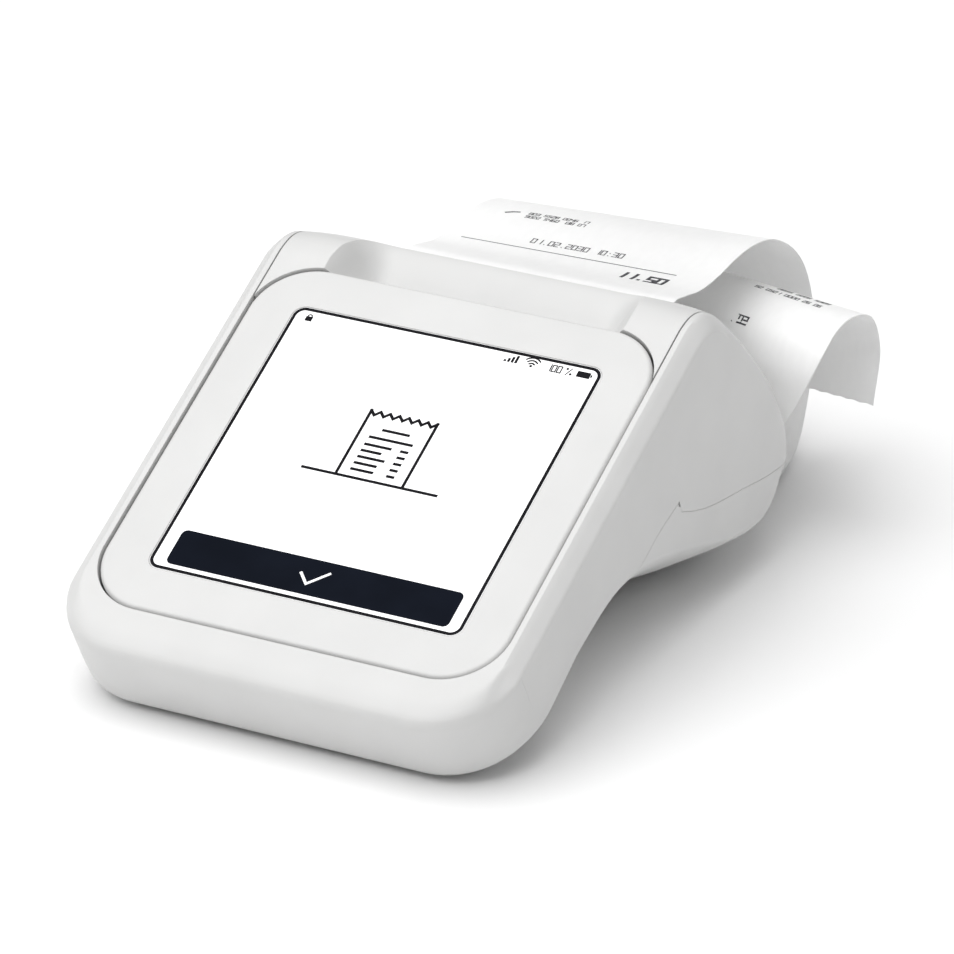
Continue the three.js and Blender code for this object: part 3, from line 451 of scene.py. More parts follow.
def scoop(grow):
    """The hollow behind the terminal that leaves room for a card. Its walls sweep up at the ends."""
    floor = [slope(38, -8.5), slope(42.6, -8.5), (45, 53.4), (48.5, 56.4)]
    floor += [(52, 58.6), (55, 59.1), (59, 57.6)]
    above = [slope(38, 2), slope(42.6, 2), (45, 65), (49, 64.4), (54, 62.4), (57, 60.6), (60, 58.4)]
    grown = ([(y + grow * SCOOP_LIFT, z - grow) for y, z in line] for line in (floor, above))
    low, high = (spline(line, SCOOP_LINE_STEPS) for line in grown)
    right = [(SCOOP_FLAT + (SCOOP_TOP - SCOOP_FLAT) * i / SCOOP_STEPS + grow, i / SCOOP_STEPS)
             for i in range(SCOOP_STEPS + 1)]
    rings = []
    for x, share in [(-x, share) for x, share in reversed(right)] + right:
        lift = share * share * (3 - 2 * share)
        line = [a.lerp(b, lift) for a, b in zip(low, high)]
        rings.append([(x, y + BEHIND, z) for y, z in line + SCOOP_ROOF])
    return loft(rings)


# ---- Mouldings of the cradle --------------------------------------------------------------------
SOCKET_REACH = (-HALF_WIDTH - 2, 6 - HALF_WIDTH)
MOUTH_HEIGHTS = (44, 62)
HINGE_SLOT = (80, 99.5)


def cradle_shell(skin):
    """Sides, front and rim, open for the terminal, insert, door, cover, mouth, hinge and socket."""
    low, high = corners("charging_socket")
    socket_y = (low.y - BEHIND - GAP, high.y - BEHIND + GAP)
    socket = box(*SOCKET_REACH, *socket_y, low.z - GAP, high.z + GAP)
    half = DOOR_HALF + GAP
    mouth = box(-half, half, MOUTH_FRONT - 1, MOUTH_BACK + 1, *MOUTH_HEIGHTS)
    hinge_slot = box(-half, half, *HINGE_SLOT, COVER_TOP - 1, DOOR_FOOT)
    regions = [terminal_region(SEAM), insert_region(GAP), door_region(GAP), cover_region(0)]
    return cut(skin, *regions, mouth, hinge_slot, socket)


GEAR_CLEAR = 0.6
GEAR_ROOM = (58, 64, 44, 51.5)  # in the side view


def crest_insert(form, hollow):
    """The crest with its card scoop, hollowed behind the scoop and cleared for the platen's gear."""
    inside = cut(hollow, scoop(WALL))
    lump = cut(form, scoop(0))
    low, high = corners("platen_gear")
    gear_room = box(low.x - GEAR_CLEAR, high.x + GEAR_CLEAR, *GEAR_ROOM)
    return cut(within(cut(lump, inside), insert_region(0)), terminal_region(SEAM), gear_room)


DOOR_KNUCKLES = [(-22, -14), (14, 22)]
COVER_KNUCKLES = [(-29.5, -22.4), (-13.6, 13.6), (22.4, 29.5)]
KNUCKLE_RADIUS = 1.8
PIN_HOLE = 1.0
EARS = [(-30.4, -28.9), (28.9, 30.4)]  # they carry the platen's bushes
EAR_OUTLINE = [(58.9, 42), (68, 36.5), (82, 33), (84, 40), (66.5, 52.5), (62, 48.6), (58.9, 46.5)]
BUSH_SEAT = 2.65
ABOVE_PLATEN = (50, MOUTH_BACK, 48.8, 60)  # the ears are cut off here, under the mouth


def paper_door(skin, form):
    """The rear door with its hinge knuckles and the ears that carry the platen."""
    y, z = HINGE_AT.x - BEHIND, HINGE_AT.y
    door = within(skin, door_region(0))
    for x0, x1 in DOOR_KNUCKLES:
        web = box(x0, x1, y - 1.4, y + 1.1, z, DOOR_FOOT + 1)
        joined(door, rod(KNUCKLE_RADIUS, x0, x1, HINGE_AT), web)
    for x0, x1 in EARS:
        joined(door, within(prism(EAR_OUTLINE, x0, x1), copy_of(form)))
    bpy.data.objects.remove(form)
    holes = [rod(PIN_HOLE, -WIDE, WIDE, HINGE_AT), rod(BUSH_SEAT, -WIDE, WIDE, PLATEN_AT)]
    return cut(door, *holes, box(-WIDE, WIDE, *ABOVE_PLATEN))


SWING_BEVEL = [(87.4, 21), (89.2, 19.2), (89.2, 21)]  # where the foot of the opening door passes
KNUCKLE_CLEAR = 0.6
SCREW_WELL = 2.3
WELL_TOP = 12.0


def base_cover(skin):
    """The underside, with its hinge knuckles, pry notch, foot seats and screw wells."""
    y, z = HINGE_AT.x - BEHIND, HINGE_AT.y
    cover = within(skin, cover_region(HAIRLINE))
    for x0, x1 in COVER_KNUCKLES:
        web = box(x0, x1, y - 1.6, y + 0.9, z - 3, z)
        joined(cover, rod(KNUCKLE_RADIUS, x0, x1, HINGE_AT), web)
    cut(cover, rod(PIN_HOLE, -WIDE, WIDE, HINGE_AT), prism(SWING_BEVEL, -DOOR_HALF, DOOR_HALF))
    cut(cover, prism(PRY_NOTCH, -WIDE, WIDE))
    for x0, x1 in DOOR_KNUCKLES:
        cut(cover, rod(KNUCKLE_RADIUS + KNUCKLE_CLEAR, x0 - GAP, x1 + GAP, HINGE_AT))
    for node in ("front_foot", "rear_foot_left", "rear_foot_right"):
        low, high = corners(node)
        seat_y = (low.y - BEHIND - GAP, high.y - BEHIND + GAP)
        cut(cover, box(low.x - GAP, high.x + GAP, *seat_y, low.z - 1, high.z + GAP))
    for i in range(4):
        low, high = corners(f"cover_screw_{i + 1}")
        middle = (low + high) / 2
        cut(cover, upright(middle.x, middle.y, SCREW_WELL, -1, WELL_TOP))
    return cover


FRAME_DEPTH = 8.0
CASE_WALL = 1.6
SLOT_HALF, SLOT_LOW, SLOT_HIGH = 27.3, -5.9, -4.7  # the card slot in the rear wall
SLOT_FROM = 38.0
BEZEL_EDGE = 0.9
LENS_CLEAR = 0.15
LENS_CORNER = 2.6
LENS_DEPTH = 1.4
LEDGE = 2.0  # the lens rests on it


def bezel():
    """The terminal's front frame, with its softened edge and the recess for the lens."""
    body = plate(HALF, HALF, CORNER, -FRAME_DEPTH, 0, edge=BEZEL_EDGE)
    inner = HALF - CASE_WALL
    lens = DISPLAY / 2 + LENS_CLEAR
    end = HALF + 1
    mouth = [(-SLOT_HALF, SLOT_FROM), (SLOT_HALF, SLOT_FROM), (SLOT_HALF, end), (-SLOT_HALF, end)]
    slot = loft([[on_face(x, y, height) for x, y in mouth] for height in (SLOT_LOW, SLOT_HIGH)])
    return cut(
        body,
        plate(inner, inner, CORNER - CASE_WALL, -FRAME_DEPTH - 1, -2),
        plate(lens, lens, LENS_CORNER, -LENS_DEPTH, 1),
        plate(lens - LEDGE, lens - LEDGE, 1.5, -3, 0),
        slot,
    )


form = cradle_form()
hollow = cradle_form(WALL)
skin = cut(copy_of(form), copy_of(hollow))

MOULDINGS = [
    (cradle_shell(copy_of(skin)), "cradle_shell", "outer_shell"),
    (paper_door(copy_of(skin), copy_of(form)), "printer_door", "paper_door"),
    (base_cover(skin), "base_cover", "bottom_cover"),
    (crest_insert(form, hollow), "crest_insert", "top_insert"),
    (bezel(), "bezel_frame", "terminal_front_frame"),
]
BODY_OF = {node: body for body, nodes in frame["record"]["behaviour"]["bodies"].items() for node in nodes}
for piece, name, node in MOULDINGS:
    finished(piece, name)
    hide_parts(node)
    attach(piece, BODY_OF[node])


# ---- Ink: strokes and plates laid on a surface --------------------------------------------------
STAGGER = 0.2  # of an ink's thickness, between shapes that may overlap
LEVELS = 3


def stroke(points, width):
    """A line of rectangles along points, each a little longer than its stretch so that corners close."""
    quads = []
    for a, b in zip(points, points[1:]):
        a, b = Vector(a), Vector(b)
        along = (b - a).normalized() * width / 2
        side = Vector((-along.y, along.x))
        quads.append([a - along - side, b + along - side, b + along + side, a - along + side])
    return quads


def ink(name, shapes, place, low, high):
    """Flat shapes given by their outlines, laid from height low to high by place(x, y, height)."""
    verts, faces = [], []
    for level, shape in enumerate(shapes):
        step = (high - low) * STAGGER * (level % LEVELS) / LEVELS
        base, count = len(verts), len(shape)
        verts += [place(x, y, low - step) for x, y in shape] + [place(x, y, high - step) for x, y in shape]
        faces += [list(range(base, base + count)), list(range(base + count, base + 2 * count))]
        for i in range(count):
            after = (i + 1) % count
            faces.append([base + i, base + after, base + count + after, base + count + i])
    return made(name, verts, faces)


# Which of the seven strokes of a digit are drawn: top, upper left, upper right, middle, lower left,
# lower right, bottom.
DIGITS = {
    "0": "1110111", "1": "0010010", "2": "1011101", "3": "1011011", "4": "0111010",
    "5": "1101011", "6": "1101111", "7": "1010010", "8": "1111111", "9": "1111011",
}
STROKES = [
    ((0, 2), (1, 2)), ((0, 1), (0, 2)), ((1, 1), (1, 2)), ((0, 1), (1, 1)), ((0, 0), (0, 1)),
    ((1, 0), (1, 1)), ((0, 0), (1, 0)),
]


DIGIT_WIDTH = 0.5  # of its height
ADVANCE = 1.45  # of its width
DOT_LENGTH = 0.4  # of the stroke's width
COLON_HEIGHT = 0.6  # of the digit's height


def dot(x, y, width):
    return stroke([(x, y), (x, y + width * DOT_LENGTH)], width)


def figures(text, x, y, height, width):
    """Digits, points, colons and slashes that start at x with their foot at y."""
    shapes = []
    wide = height * DIGIT_WIDTH
    for mark in text:
        for drawn, (a, b) in zip(DIGITS.get(mark, ""), STROKES):
            if drawn == "1":
                ends = [(x + wide * px, y + height / 2 * py) for px, py in (a, b)]
                shapes += stroke(ends, width)
        if mark in ".:":
            shapes += dot(x + wide / 2, y, width)
        if mark == ":":
            shapes += dot(x + wide / 2, y + height * COLON_HEIGHT, width)
        if mark == "/":
            shapes += stroke([(x, y), (x + wide, y + height)], width)
        x += wide * ADVANCE
    return shapes


# ---- The display's picture ----------------------------------------------------------------------
ON_LENS = -LENS_SUNK + 0.005  # ink starts just above the lens
INK_TOP = 0.0
ABOVE_BUTTON = 0.01  # the tick lies on the button
LINE = 0.6
INK_HALF = DISPLAY / 2 - 0.1
OUTLINE_WIDTH = 0.65
OUTLINE_CORNER = 2.3
OUTLINE_STEPS = 12


def screen_outline():
    """The black line round the picture, as one closed band with rounded corners."""
    inside = INK_HALF - OUTLINE_WIDTH
    outer = rounded_rectangle(INK_HALF, INK_HALF, OUTLINE_CORNER, OUTLINE_STEPS)
    inner = rounded_rectangle(inside, inside, OUTLINE_CORNER - OUTLINE_WIDTH, OUTLINE_STEPS)
    rings = [[on_face(x, y, h) for x, y in ring]
             for ring, h in ((outer, ON_LENS), (outer, INK_TOP), (inner, INK_TOP), (inner, ON_LENS))]
    count = len(outer)
    faces = []
    for r in range(4):
        for i in range(count):
            a, b = r * count + i, r * count + (i + 1) % count
            c, d = ((r + 1) % 4) * count + (i + 1) % count, ((r + 1) % 4) * count + i
            faces.append([a, b, c, d])
    return made("screen_outline", [point for ring in rings for point in ring], faces)


def receipt_symbol():
    """A till receipt standing on a line: torn top edge, heading, item lines and their prices."""
    left, right, foot, top = -6.9, 7.0, -3.35, 12.4
    teeth = 7
    tooth = (right - left) / teeth
    edge = [(left, foot)]
    for i in range(teeth):
        edge += [(left + i * tooth, top), (left + (i + 0.5) * tooth, top - 1.0)]
    edge += [(right, top), (right, foot)]
    shapes = stroke(edge, LINE) + stroke([(-13.8, foot), (14.1, foot)], LINE)
    shapes += stroke([(-2.5, 8.5), (2.7, 8.5)], LINE) + stroke([(-4.3, 6.45), (4.3, 6.45)], LINE)
    for row, end in enumerate((0.7, -0.7, 0.7, -0.2, -0.2)):
        y = 4.65 - 1.52 * row
        shapes += stroke([(-4.4, y), (end, y)], LINE) + stroke([(3.1, y), (4.2, y)], LINE)
    return shapes


def arc(x, y, radius, start, end, steps=6):
    turns = [math.radians(start + (end - start) * i / steps) for i in range(steps + 1)]
    return [(x + radius * math.cos(a), y + radius * math.sin(a)) for a in turns]


def status_symbols():
    """Padlock at the left; signal, radio, charge and battery at the right."""
    shapes = [[(-29.6, 29.4), (-28.2, 29.4), (-28.2, 30.5), (-29.6, 30.5)]]
    shapes += stroke(arc(-28.9, 30.5, 0.45, 0, 180), 0.22)
    for bar in range(4):
        x = 12.5 + 0.75 * bar
        shapes.append([(x, 29.7), (x + 0.5, 29.7), (x + 0.5, 30.15 + 0.45 * bar), (x, 30.15 + 0.45 * bar)])
    for radius in (0.75, 1.4, 2.05):
        shapes += stroke(arc(18.2, 29.7, radius, 45, 135), 0.3)
    shapes.append(arc(18.2, 29.8, 0.28, 0, 330, 11))
    shapes += figures("100", 21.4, 29.6, 1.5, 0.22) + stroke([(25.5, 29.5), (26.3, 31.1)], 0.2)
    shapes += [arc(25.4, 30.9, 0.26, 0, 330, 9), arc(26.4, 29.8, 0.26, 0, 330, 9)]
    shapes += [[(27.6, 29.6), (30.3, 29.6), (30.3, 31.0), (27.6, 31.0)],
               [(30.4, 30.0), (30.7, 30.0), (30.7, 30.6), (30.4, 30.6)]]
    return shapes


BUTTON_CENTRE = (0.15, -26.85)
BUTTON_HALF = (29.3, 4.05)
BUTTON_CORNER = 1.2
BUTTON_STEPS = 8
TICK_WIDTH = 0.55
TICK = [(-2.7, -26.4), (-0.7, -28.5), (2.7, -25.3)]


def on_button(x, y, height):
    return on_face(x, y, height + ABOVE_BUTTON)


black_button = [(x + BUTTON_CENTRE[0], y + BUTTON_CENTRE[1])
                for x, y in rounded_rectangle(*BUTTON_HALF, BUTTON_CORNER, BUTTON_STEPS)]
DISPLAY_PIECES = [
    screen_outline(),
    ink("screen_symbols", receipt_symbol() + status_symbols(), on_face, ON_LENS, INK_TOP),
    ink("screen_button", [black_button], on_face, ON_LENS, INK_TOP),
    ink("screen_tick", stroke(TICK, TICK_WIDTH), on_button, ON_LENS, INK_TOP),
]
for piece in DISPLAY_PIECES:
    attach(piece, "terminal")


# ---- Printed receipt ----------------------------------------------------------------------------
# x, distance behind the display's middle, z, and the sheet's turn about Z in degrees.
STRIP_PATH = [
    (0, 62.95, 50.9, 0), (0, 63.2, 53, 0), (0, 66, 54.2, 0), (0, 70, 53.6, 0.5), (0, 76, 52.4, 1.5),
    (0, 83, 52.4, 3), (0, 90, 53.2, 4), (0, 97, 53.2, 5), (0, 106, 51.2, 6), (0, 116.2, 45.2, 6),
    (0, 123.4, 37.4, 4), (0.3, 127.4, 25, 2), (0.6, 126.5, 12, -2), (2, 120.5, 4, -5), (3.6, 112, 2.4, -8),
    (5.4, 104, 4, -11), (8.4, 97.5, 11, -13), (13, 93.8, 21, -13.5), (17.6, 92.6, 29, -14),
    (20.7, 92.2, 35.4, -14), (22.2, 94.6, 40, -14), (22.2, 100, 42.2, -14), (22.2, 106.4, 42.4, -13),
    (22.2, 113, 39.4, -10), (22, 115.8, 31, -7), (21.7, 113.6, 19.8, -6.7),
]
SHEET_THICKNESS = 0.14
SHEET_STEPS = 420
TEAR_TEETH = 19
TEAR_DEPTH = 0.2


def strip_point(share):
    """The strip's middle line as a centripetal curve, with the sheet's turn there."""
    last = len(STRIP_PATH) - 1
    place = last * share
    i = min(int(place), last - 1)
    w = place - i
    a, b = Vector(STRIP_PATH[i][:3]), Vector(STRIP_PATH[i + 1][:3])
    before = Vector(STRIP_PATH[i - 1][:3]) if i > 0 else 2 * a - b
    after = Vector(STRIP_PATH[i + 2][:3]) if i + 2 <= last else 2 * b - a
    d0, d1, d2 = ((q - p).length ** 0.5 for p, q in ((before, a), (a, b), (b, after)))
    leave = ((a - before) / d0 - (b - before) / (d0 + d1) + (b - a) / d1) * d1
    arrive = ((b - a) / d1 - (after - a) / (d1 + d2) + (after - b) / d2) * d1
    point = ((2 * a - 2 * b + leave + arrive) * w**3 + (3 * b - 3 * a - 2 * leave - arrive) * w**2
             + leave * w + a)
    turns = [STRIP_PATH[min(max(k, 0), last)][3] for k in (i - 1, i, i + 1, i + 2)]
    t0, t1 = (turns[2] - turns[0]) / 2, (turns[3] - turns[1]) / 2
    turn = ((2 * turns[1] - 2 * turns[2] + t0 + t1) * w**3
            + (3 * turns[2] - 3 * turns[1] - 2 * t0 - t1) * w**2 + t0 * w + turns[1])
    point.y += BEHIND
    return point, math.radians(turn)


STRIP = [strip_point(step / SHEET_STEPS) for step in range(SHEET_STEPS + 1)]
STRIP_LENGTHS = [0.0]
for (a, _), (b, _) in zip(STRIP, STRIP[1:]):
    STRIP_LENGTHS.append(STRIP_LENGTHS[-1] + (b - a).length)


def strip_frame(step):
    """Middle, direction across and printed side's direction at a step."""
    point, turn = STRIP[step]
    along = (STRIP[min(step + 1, SHEET_STEPS)][0] - STRIP[max(step - 1, 0)][0]).normalized()
    across = Vector((math.cos(turn), math.sin(turn), 0))
    return point, across, across.cross(along).normalized()


FRAMES = [strip_frame(step) for step in range(SHEET_STEPS + 1)]


def on_strip(across, along, height):
    """A place on the printed side: across from the middle, along from the mouth, height above it."""
    step = 0
    while step < SHEET_STEPS - 1 and STRIP_LENGTHS[step + 1] < along:
        step += 1
    share = (along - STRIP_LENGTHS[step]) / (STRIP_LENGTHS[step + 1] - STRIP_LENGTHS[step])
    point, side, up = (p.lerp(q, share) for p, q in zip(FRAMES[step], FRAMES[step + 1]))
    return point + side * across + up.normalized() * (height + SHEET_THICKNESS / 2)


def receipt_sheet():
    """The thin sheet, closed all round, with a row of torn teeth at its free end."""
    columns = TEAR_TEETH * 2 + 1
    verts, faces = [], []
    for face in (0.5, -0.5):
        for step, (point, across, up) in enumerate(FRAMES):
            along = up.cross(across)
            for column in range(columns):
                side = PAPER * (column / (columns - 1) - 0.5)
                torn = TEAR_DEPTH if step == SHEET_STEPS and column % 2 else 0.0
                verts.append(point + across * side + up * SHEET_THICKNESS * face - along * torn)
    layer = (SHEET_STEPS + 1) * columns
    for step in range(SHEET_STEPS):
        for column in range(columns - 1):
            a = step * columns + column
            quad = [a, a + 1, a + columns + 1, a + columns]
            faces += [quad, [v + layer for v in reversed(quad)]]
        for a in (step * columns, step * columns + columns - 1):
            faces.append([a, a + columns, a + columns + layer, a + layer])
    for column in range(columns - 1):
        for a in (column, SHEET_STEPS * columns + column):
            faces.append([a, a + 1, a + 1 + layer, a + layer])
    return made("receipt_sheet", verts, faces)


PRINT_HEIGHT = 0.03
SMALL = 0.16  # stroke of the small print


# Lines of figures on the strip: text, place across, place along, height and stroke.
PRINT = [
    ("803 5528 0046 17", -17.2, 34.2, 1.1, SMALL),
    ("9022 5460 138 07", -17.2, 32.4, 1.1, SMALL),
    ("01.02.2030 10:30", -11.3, 22.7, 1.7, 0.2),
    ("11.50", 10.9, 14.2, 2.9, 0.62),
    ("0835 2206 5309", 8.4, 180.6, 1.25, 0.2),
    ("52 0521 0000 26 06", 4.6, 177.4, 1.25, 0.2),
    ("/02", 5.4, 165.6, 1.7, 0.34),
]
CHECK_MARK = [(-21.6, 33.4), (-20.4, 34.2), (-19.4, 34.6)]
RULE = [(-24.5, 19.8), (21.0, 19.8)]


def receipt_print():
    """Made-up print: a mark, address figures, date, rule and amount, and the end of another slip."""
    shapes = stroke(CHECK_MARK, 0.5)
    for line in PRINT[:3]:
        shapes += figures(*line)
    shapes += stroke(RULE, 0.22)
    for line in PRINT[3:]:
        shapes += figures(*line)
    return ink("receipt_print", shapes, on_strip, -SHEET_THICKNESS / 4, PRINT_HEIGHT)


sheet = receipt_sheet()
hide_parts("receipt_strip")
print_on_sheet = receipt_print()
for piece in (sheet, print_on_sheet):
    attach(piece, "receipt")


# ---- Materials ----------------------------------------------------------------------------------
class Finish:
    """A node material in which every pattern is placed by the piece's own coordinates."""

    def __init__(self, name, colour, roughness, metallic=0.0, coat=0.0):
        self.material = bpy.data.materials.new(name)
        self.material.use_nodes = True
        self.nodes = self.material.node_tree.nodes
        self.links = self.material.node_tree.links
        self.shader = self.nodes["Principled BSDF"]
        self.place = self.nodes.new("ShaderNodeTexCoord").outputs["Object"]
        self.colour = (*colour, 1)
        self.roughness = roughness
        self.shader.inputs["Base Color"].default_value = self.colour
        self.shader.inputs["Roughness"].default_value = roughness
        self.shader.inputs["Metallic"].default_value = metallic
        self.shader.inputs["Coat Weight"].default_value = coat
        self.edge = self.nodes.new("ShaderNodeBevel")
        self.edge.samples = 4
        self.edge.inputs["Radius"].default_value = 0.25 * MM
        self.normal = self.edge.outputs["Normal"]
        self.links.new(self.normal, self.shader.inputs["Normal"])

    def stretched(self, stretch):
        """The piece's coordinates scaled per axis, so that a pattern draws out along an axis."""
        mapping = self.nodes.new("ShaderNodeMapping")
        mapping.inputs["Scale"].default_value = stretch
        self.links.new(self.place, mapping.inputs["Vector"])
        return mapping.outputs["Vector"]

    def noise(self, size, detail=3.0, stretch=(1, 1, 1)):
        """Noise from 0 to 1 with features of about size millimetres."""
        node = self.nodes.new("ShaderNodeTexNoise")
        node.inputs["Scale"].default_value = 1 / (size * MM)
        node.inputs["Detail"].default_value = detail
        self.links.new(self.stretched(stretch), node.inputs["Vector"])
        return node.outputs["Fac"]

    def ramp(self, value, *stops):
        """value turned into a colour by (position, colour) stops."""
        node = self.nodes.new("ShaderNodeValToRGB")
        elements = node.color_ramp.elements
        while len(elements) < len(stops):
            elements.new(0.5)
        for element, (position, colour) in zip(elements, stops):
            element.position = position
            element.color = (*colour, 1)
        self.links.new(value, node.inputs["Fac"])
        return node.outputs["Color"]

    def tinted(self, value, amount):
        """The base colour made darker and lighter by amount as value goes from 0 to 1."""
        low = tuple(channel * (1 - amount) for channel in self.colour[:3])
        high = tuple(min(1.0, channel * (1 + amount)) for channel in self.colour[:3])
        self.links.new(self.ramp(value, (0.3, low), (0.7, high)), self.shader.inputs["Base Color"])
        return self

    def varied_gloss(self, value, amount):
        node = self.nodes.new("ShaderNodeMapRange")
        node.inputs["To Min"].default_value = max(0.02, self.roughness - amount)
        node.inputs["To Max"].default_value = min(1.0, self.roughness + amount)
        self.links.new(value, node.inputs["Value"])
        self.links.new(node.outputs["Result"], self.shader.inputs["Roughness"])
        return self

    def raised(self, value, height, strength=1.0):
        """A bump of height millimetres."""
        node = self.nodes.new("ShaderNodeBump")
        node.inputs["Distance"].default_value = height * MM
        node.inputs["Strength"].default_value = strength
        self.links.new(value, node.inputs["Height"])
        self.links.new(self.normal, node.inputs["Normal"])
        self.normal = node.outputs["Normal"]
        self.links.new(self.normal, self.shader.inputs["Normal"])
        return self

    def lit(self, colour, strength):
        self.shader.inputs["Emission Color"].default_value = (*colour, 1)
        self.shader.inputs["Emission Strength"].default_value = strength
        return self


def moulded(name, colour, roughness, grain=0.35, height=0.012, mottle=0.02):
    """Moulded plastic: a fine spark-eroded grain, a faint flow mottle and uneven gloss."""
    made_of = Finish(name, colour, roughness)
    made_of.tinted(made_of.noise(14, 2), mottle)
    made_of.varied_gloss(made_of.noise(5, 4), 0.05)
    return made_of.raised(made_of.noise(grain, 2), height, 0.5)


def white_shell():
    made_of = moulded("white_shell", (0.66, 0.66, 0.655), 0.42)
    made_of.shader.inputs["Subsurface Weight"].default_value = 0.06
    made_of.shader.inputs["Subsurface Radius"].default_value = (1.2, 1.1, 1.0)
    made_of.shader.inputs["Subsurface Scale"].default_value = MM
    return made_of


def brushed(name, colour, roughness):
    made_of = Finish(name, colour, roughness, metallic=1.0)
    lines = made_of.noise(0.5, 4, (0.06, 1, 1))
    made_of.tinted(lines, 0.12)
    made_of.varied_gloss(made_of.noise(0.7, 3, (0.08, 1, 1)), 0.12)
    return made_of.raised(lines, 0.01, 0.4)


def circuit_board():
    """Green solder mask with darker traces under it and a few bright pads."""
    made_of = Finish("board_green", (0.02, 0.13, 0.06), 0.35, coat=0.4)
    traces = made_of.nodes.new("ShaderNodeTexBrick")
    traces.inputs["Scale"].default_value = 1 / (4.5 * MM)
    traces.inputs["Mortar Size"].default_value = 0.05
    traces.inputs["Color1"].default_value = (0.02, 0.13, 0.06, 1)
    traces.inputs["Color2"].default_value = (0.018, 0.11, 0.05, 1)
    traces.inputs["Mortar"].default_value = (0.04, 0.2, 0.09, 1)
    made_of.links.new(made_of.place, traces.inputs["Vector"])
    pads = made_of.nodes.new("ShaderNodeTexVoronoi")
    pads.inputs["Scale"].default_value = 1 / (3.1 * MM)
    made_of.links.new(made_of.place, pads.inputs["Vector"])
    spots = made_of.ramp(pads.outputs["Distance"], (0.1, (1, 1, 1)), (0.13, (0, 0, 0)))
    mix = made_of.nodes.new("ShaderNodeMix")
    mix.data_type = "RGBA"
    mix.inputs["B"].default_value = (0.75, 0.7, 0.55, 1)
    made_of.links.new(spots, mix.inputs["Factor"])
    made_of.links.new(traces.outputs["Color"], mix.inputs["A"])
    made_of.links.new(mix.outputs["Result"], made_of.shader.inputs["Base Color"])
    return made_of.raised(traces.outputs["Fac"], 0.03, 0.4)


def rubber(name, colour):
    made_of = Finish(name, colour, 0.75)
    made_of.tinted(made_of.noise(3), 0.15)
    made_of.varied_gloss(made_of.noise(1.5), 0.08)
    return made_of.raised(made_of.noise(0.25, 3), 0.03, 0.6)


def paper():
    """Coated thermal paper: short fibres, a faint cockle and a soft sheen."""
    made_of = Finish("receipt_paper", (0.92, 0.92, 0.915), 0.5)
    made_of.shader.inputs["Subsurface Weight"].default_value = 0.7
    made_of.shader.inputs["Subsurface Radius"].default_value = (0.6, 0.6, 0.6)
    made_of.shader.inputs["Subsurface Scale"].default_value = MM
    made_of.tinted(made_of.noise(1.2, 6, (1, 0.35, 0.35)), 0.012)
    made_of.varied_gloss(made_of.noise(4, 3), 0.05)
    made_of.raised(made_of.noise(18, 1), 0.12, 0.35)
    return made_of.raised(made_of.noise(0.3, 4, (1, 0.4, 0.4)), 0.006, 0.5)


def wound(name, colour, turn, roughness):
    """Paper or card wound about the roll's axis: its ends show the turns as fine rings."""
    made_of = Finish(name, colour, roughness)
    centred = made_of.nodes.new("ShaderNodeVectorMath")
    centred.operation = "SUBTRACT"
    centred.inputs[1].default_value = (0, ROLL_AT.x * MM, ROLL_AT.y * MM)
    made_of.links.new(made_of.stretched((0, 1, 1)), centred.inputs[0])
    rings = made_of.nodes.new("ShaderNodeTexWave")
    rings.wave_type = "RINGS"
    rings.rings_direction = "X"
    rings.inputs["Scale"].default_value = 1 / (turn * MM * 20)
    rings.inputs["Distortion"].default_value = 1.5
    made_of.links.new(centred.outputs["Vector"], rings.inputs["Vector"])
    made_of.tinted(rings.outputs["Fac"], 0.06)
    made_of.varied_gloss(made_of.noise(2), 0.05)
    return made_of.raised(rings.outputs["Fac"], 0.03, 0.4)


def battery_wrap():
    made_of = Finish("cell_wrap", (0.035, 0.045, 0.06), 0.4, coat=0.3)
    made_of.tinted(made_of.noise(6), 0.2)
    made_of.varied_gloss(made_of.noise(3), 0.1)
    return made_of.raised(made_of.noise(7, 2, (0.3, 1, 1)), 0.15, 0.4)


def lit_display():
    """A clear lens over a lit white panel; the panel's fine grid shows only close up."""
    made_of = Finish("display_glass", (0.86, 0.86, 0.865), 0.14, coat=0.6)
    grid = made_of.nodes.new("ShaderNodeTexBrick")
    grid.inputs["Scale"].default_value = 1 / (0.45 * MM)
    grid.inputs["Mortar Size"].default_value = 0.03
    grid.inputs["Color1"].default_value = (1, 1, 1, 1)
    grid.inputs["Color2"].default_value = (0.985, 0.99, 1, 1)
    grid.inputs["Mortar"].default_value = (0.95, 0.95, 0.95, 1)
    made_of.links.new(made_of.place, grid.inputs["Vector"])
    made_of.lit((1, 1, 1), 0.35)
    made_of.links.new(grid.outputs["Color"], made_of.shader.inputs["Emission Color"])
    return made_of.varied_gloss(made_of.noise(20, 2), 0.03)


def dark_ink(name, colour):
    """Black shown by the display, with a faint unevenness."""
    made_of = Finish(name, colour, 0.6)
    made_of.shader.inputs["Specular IOR Level"].default_value = 0.02
    made_of.tinted(made_of.noise(9, 2), 0.15)
    return made_of.varied_gloss(made_of.noise(6, 2), 0.04)


def thermal_print():
    """Heat-printed grey-black, built of dots, so it is paler in places."""
    made_of = Finish("thermal_print", (0.03, 0.03, 0.035), 0.6)
    made_of.shader.inputs["Specular IOR Level"].default_value = 0.1
    dots = made_of.noise(0.35, 2)
    colour = made_of.ramp(dots, (0.35, (0.02, 0.02, 0.025)), (0.75, (0.16, 0.16, 0.17)))
    made_of.links.new(colour, made_of.shader.inputs["Base Color"])
    return made_of.varied_gloss(made_of.noise(1), 0.05)


def lit_white():
    made_of = Finish("lit_white", (0.85, 0.85, 0.86), 0.2)
    made_of.tinted(made_of.noise(2), 0.02)
    return made_of.lit((1, 1, 1), 0.3)


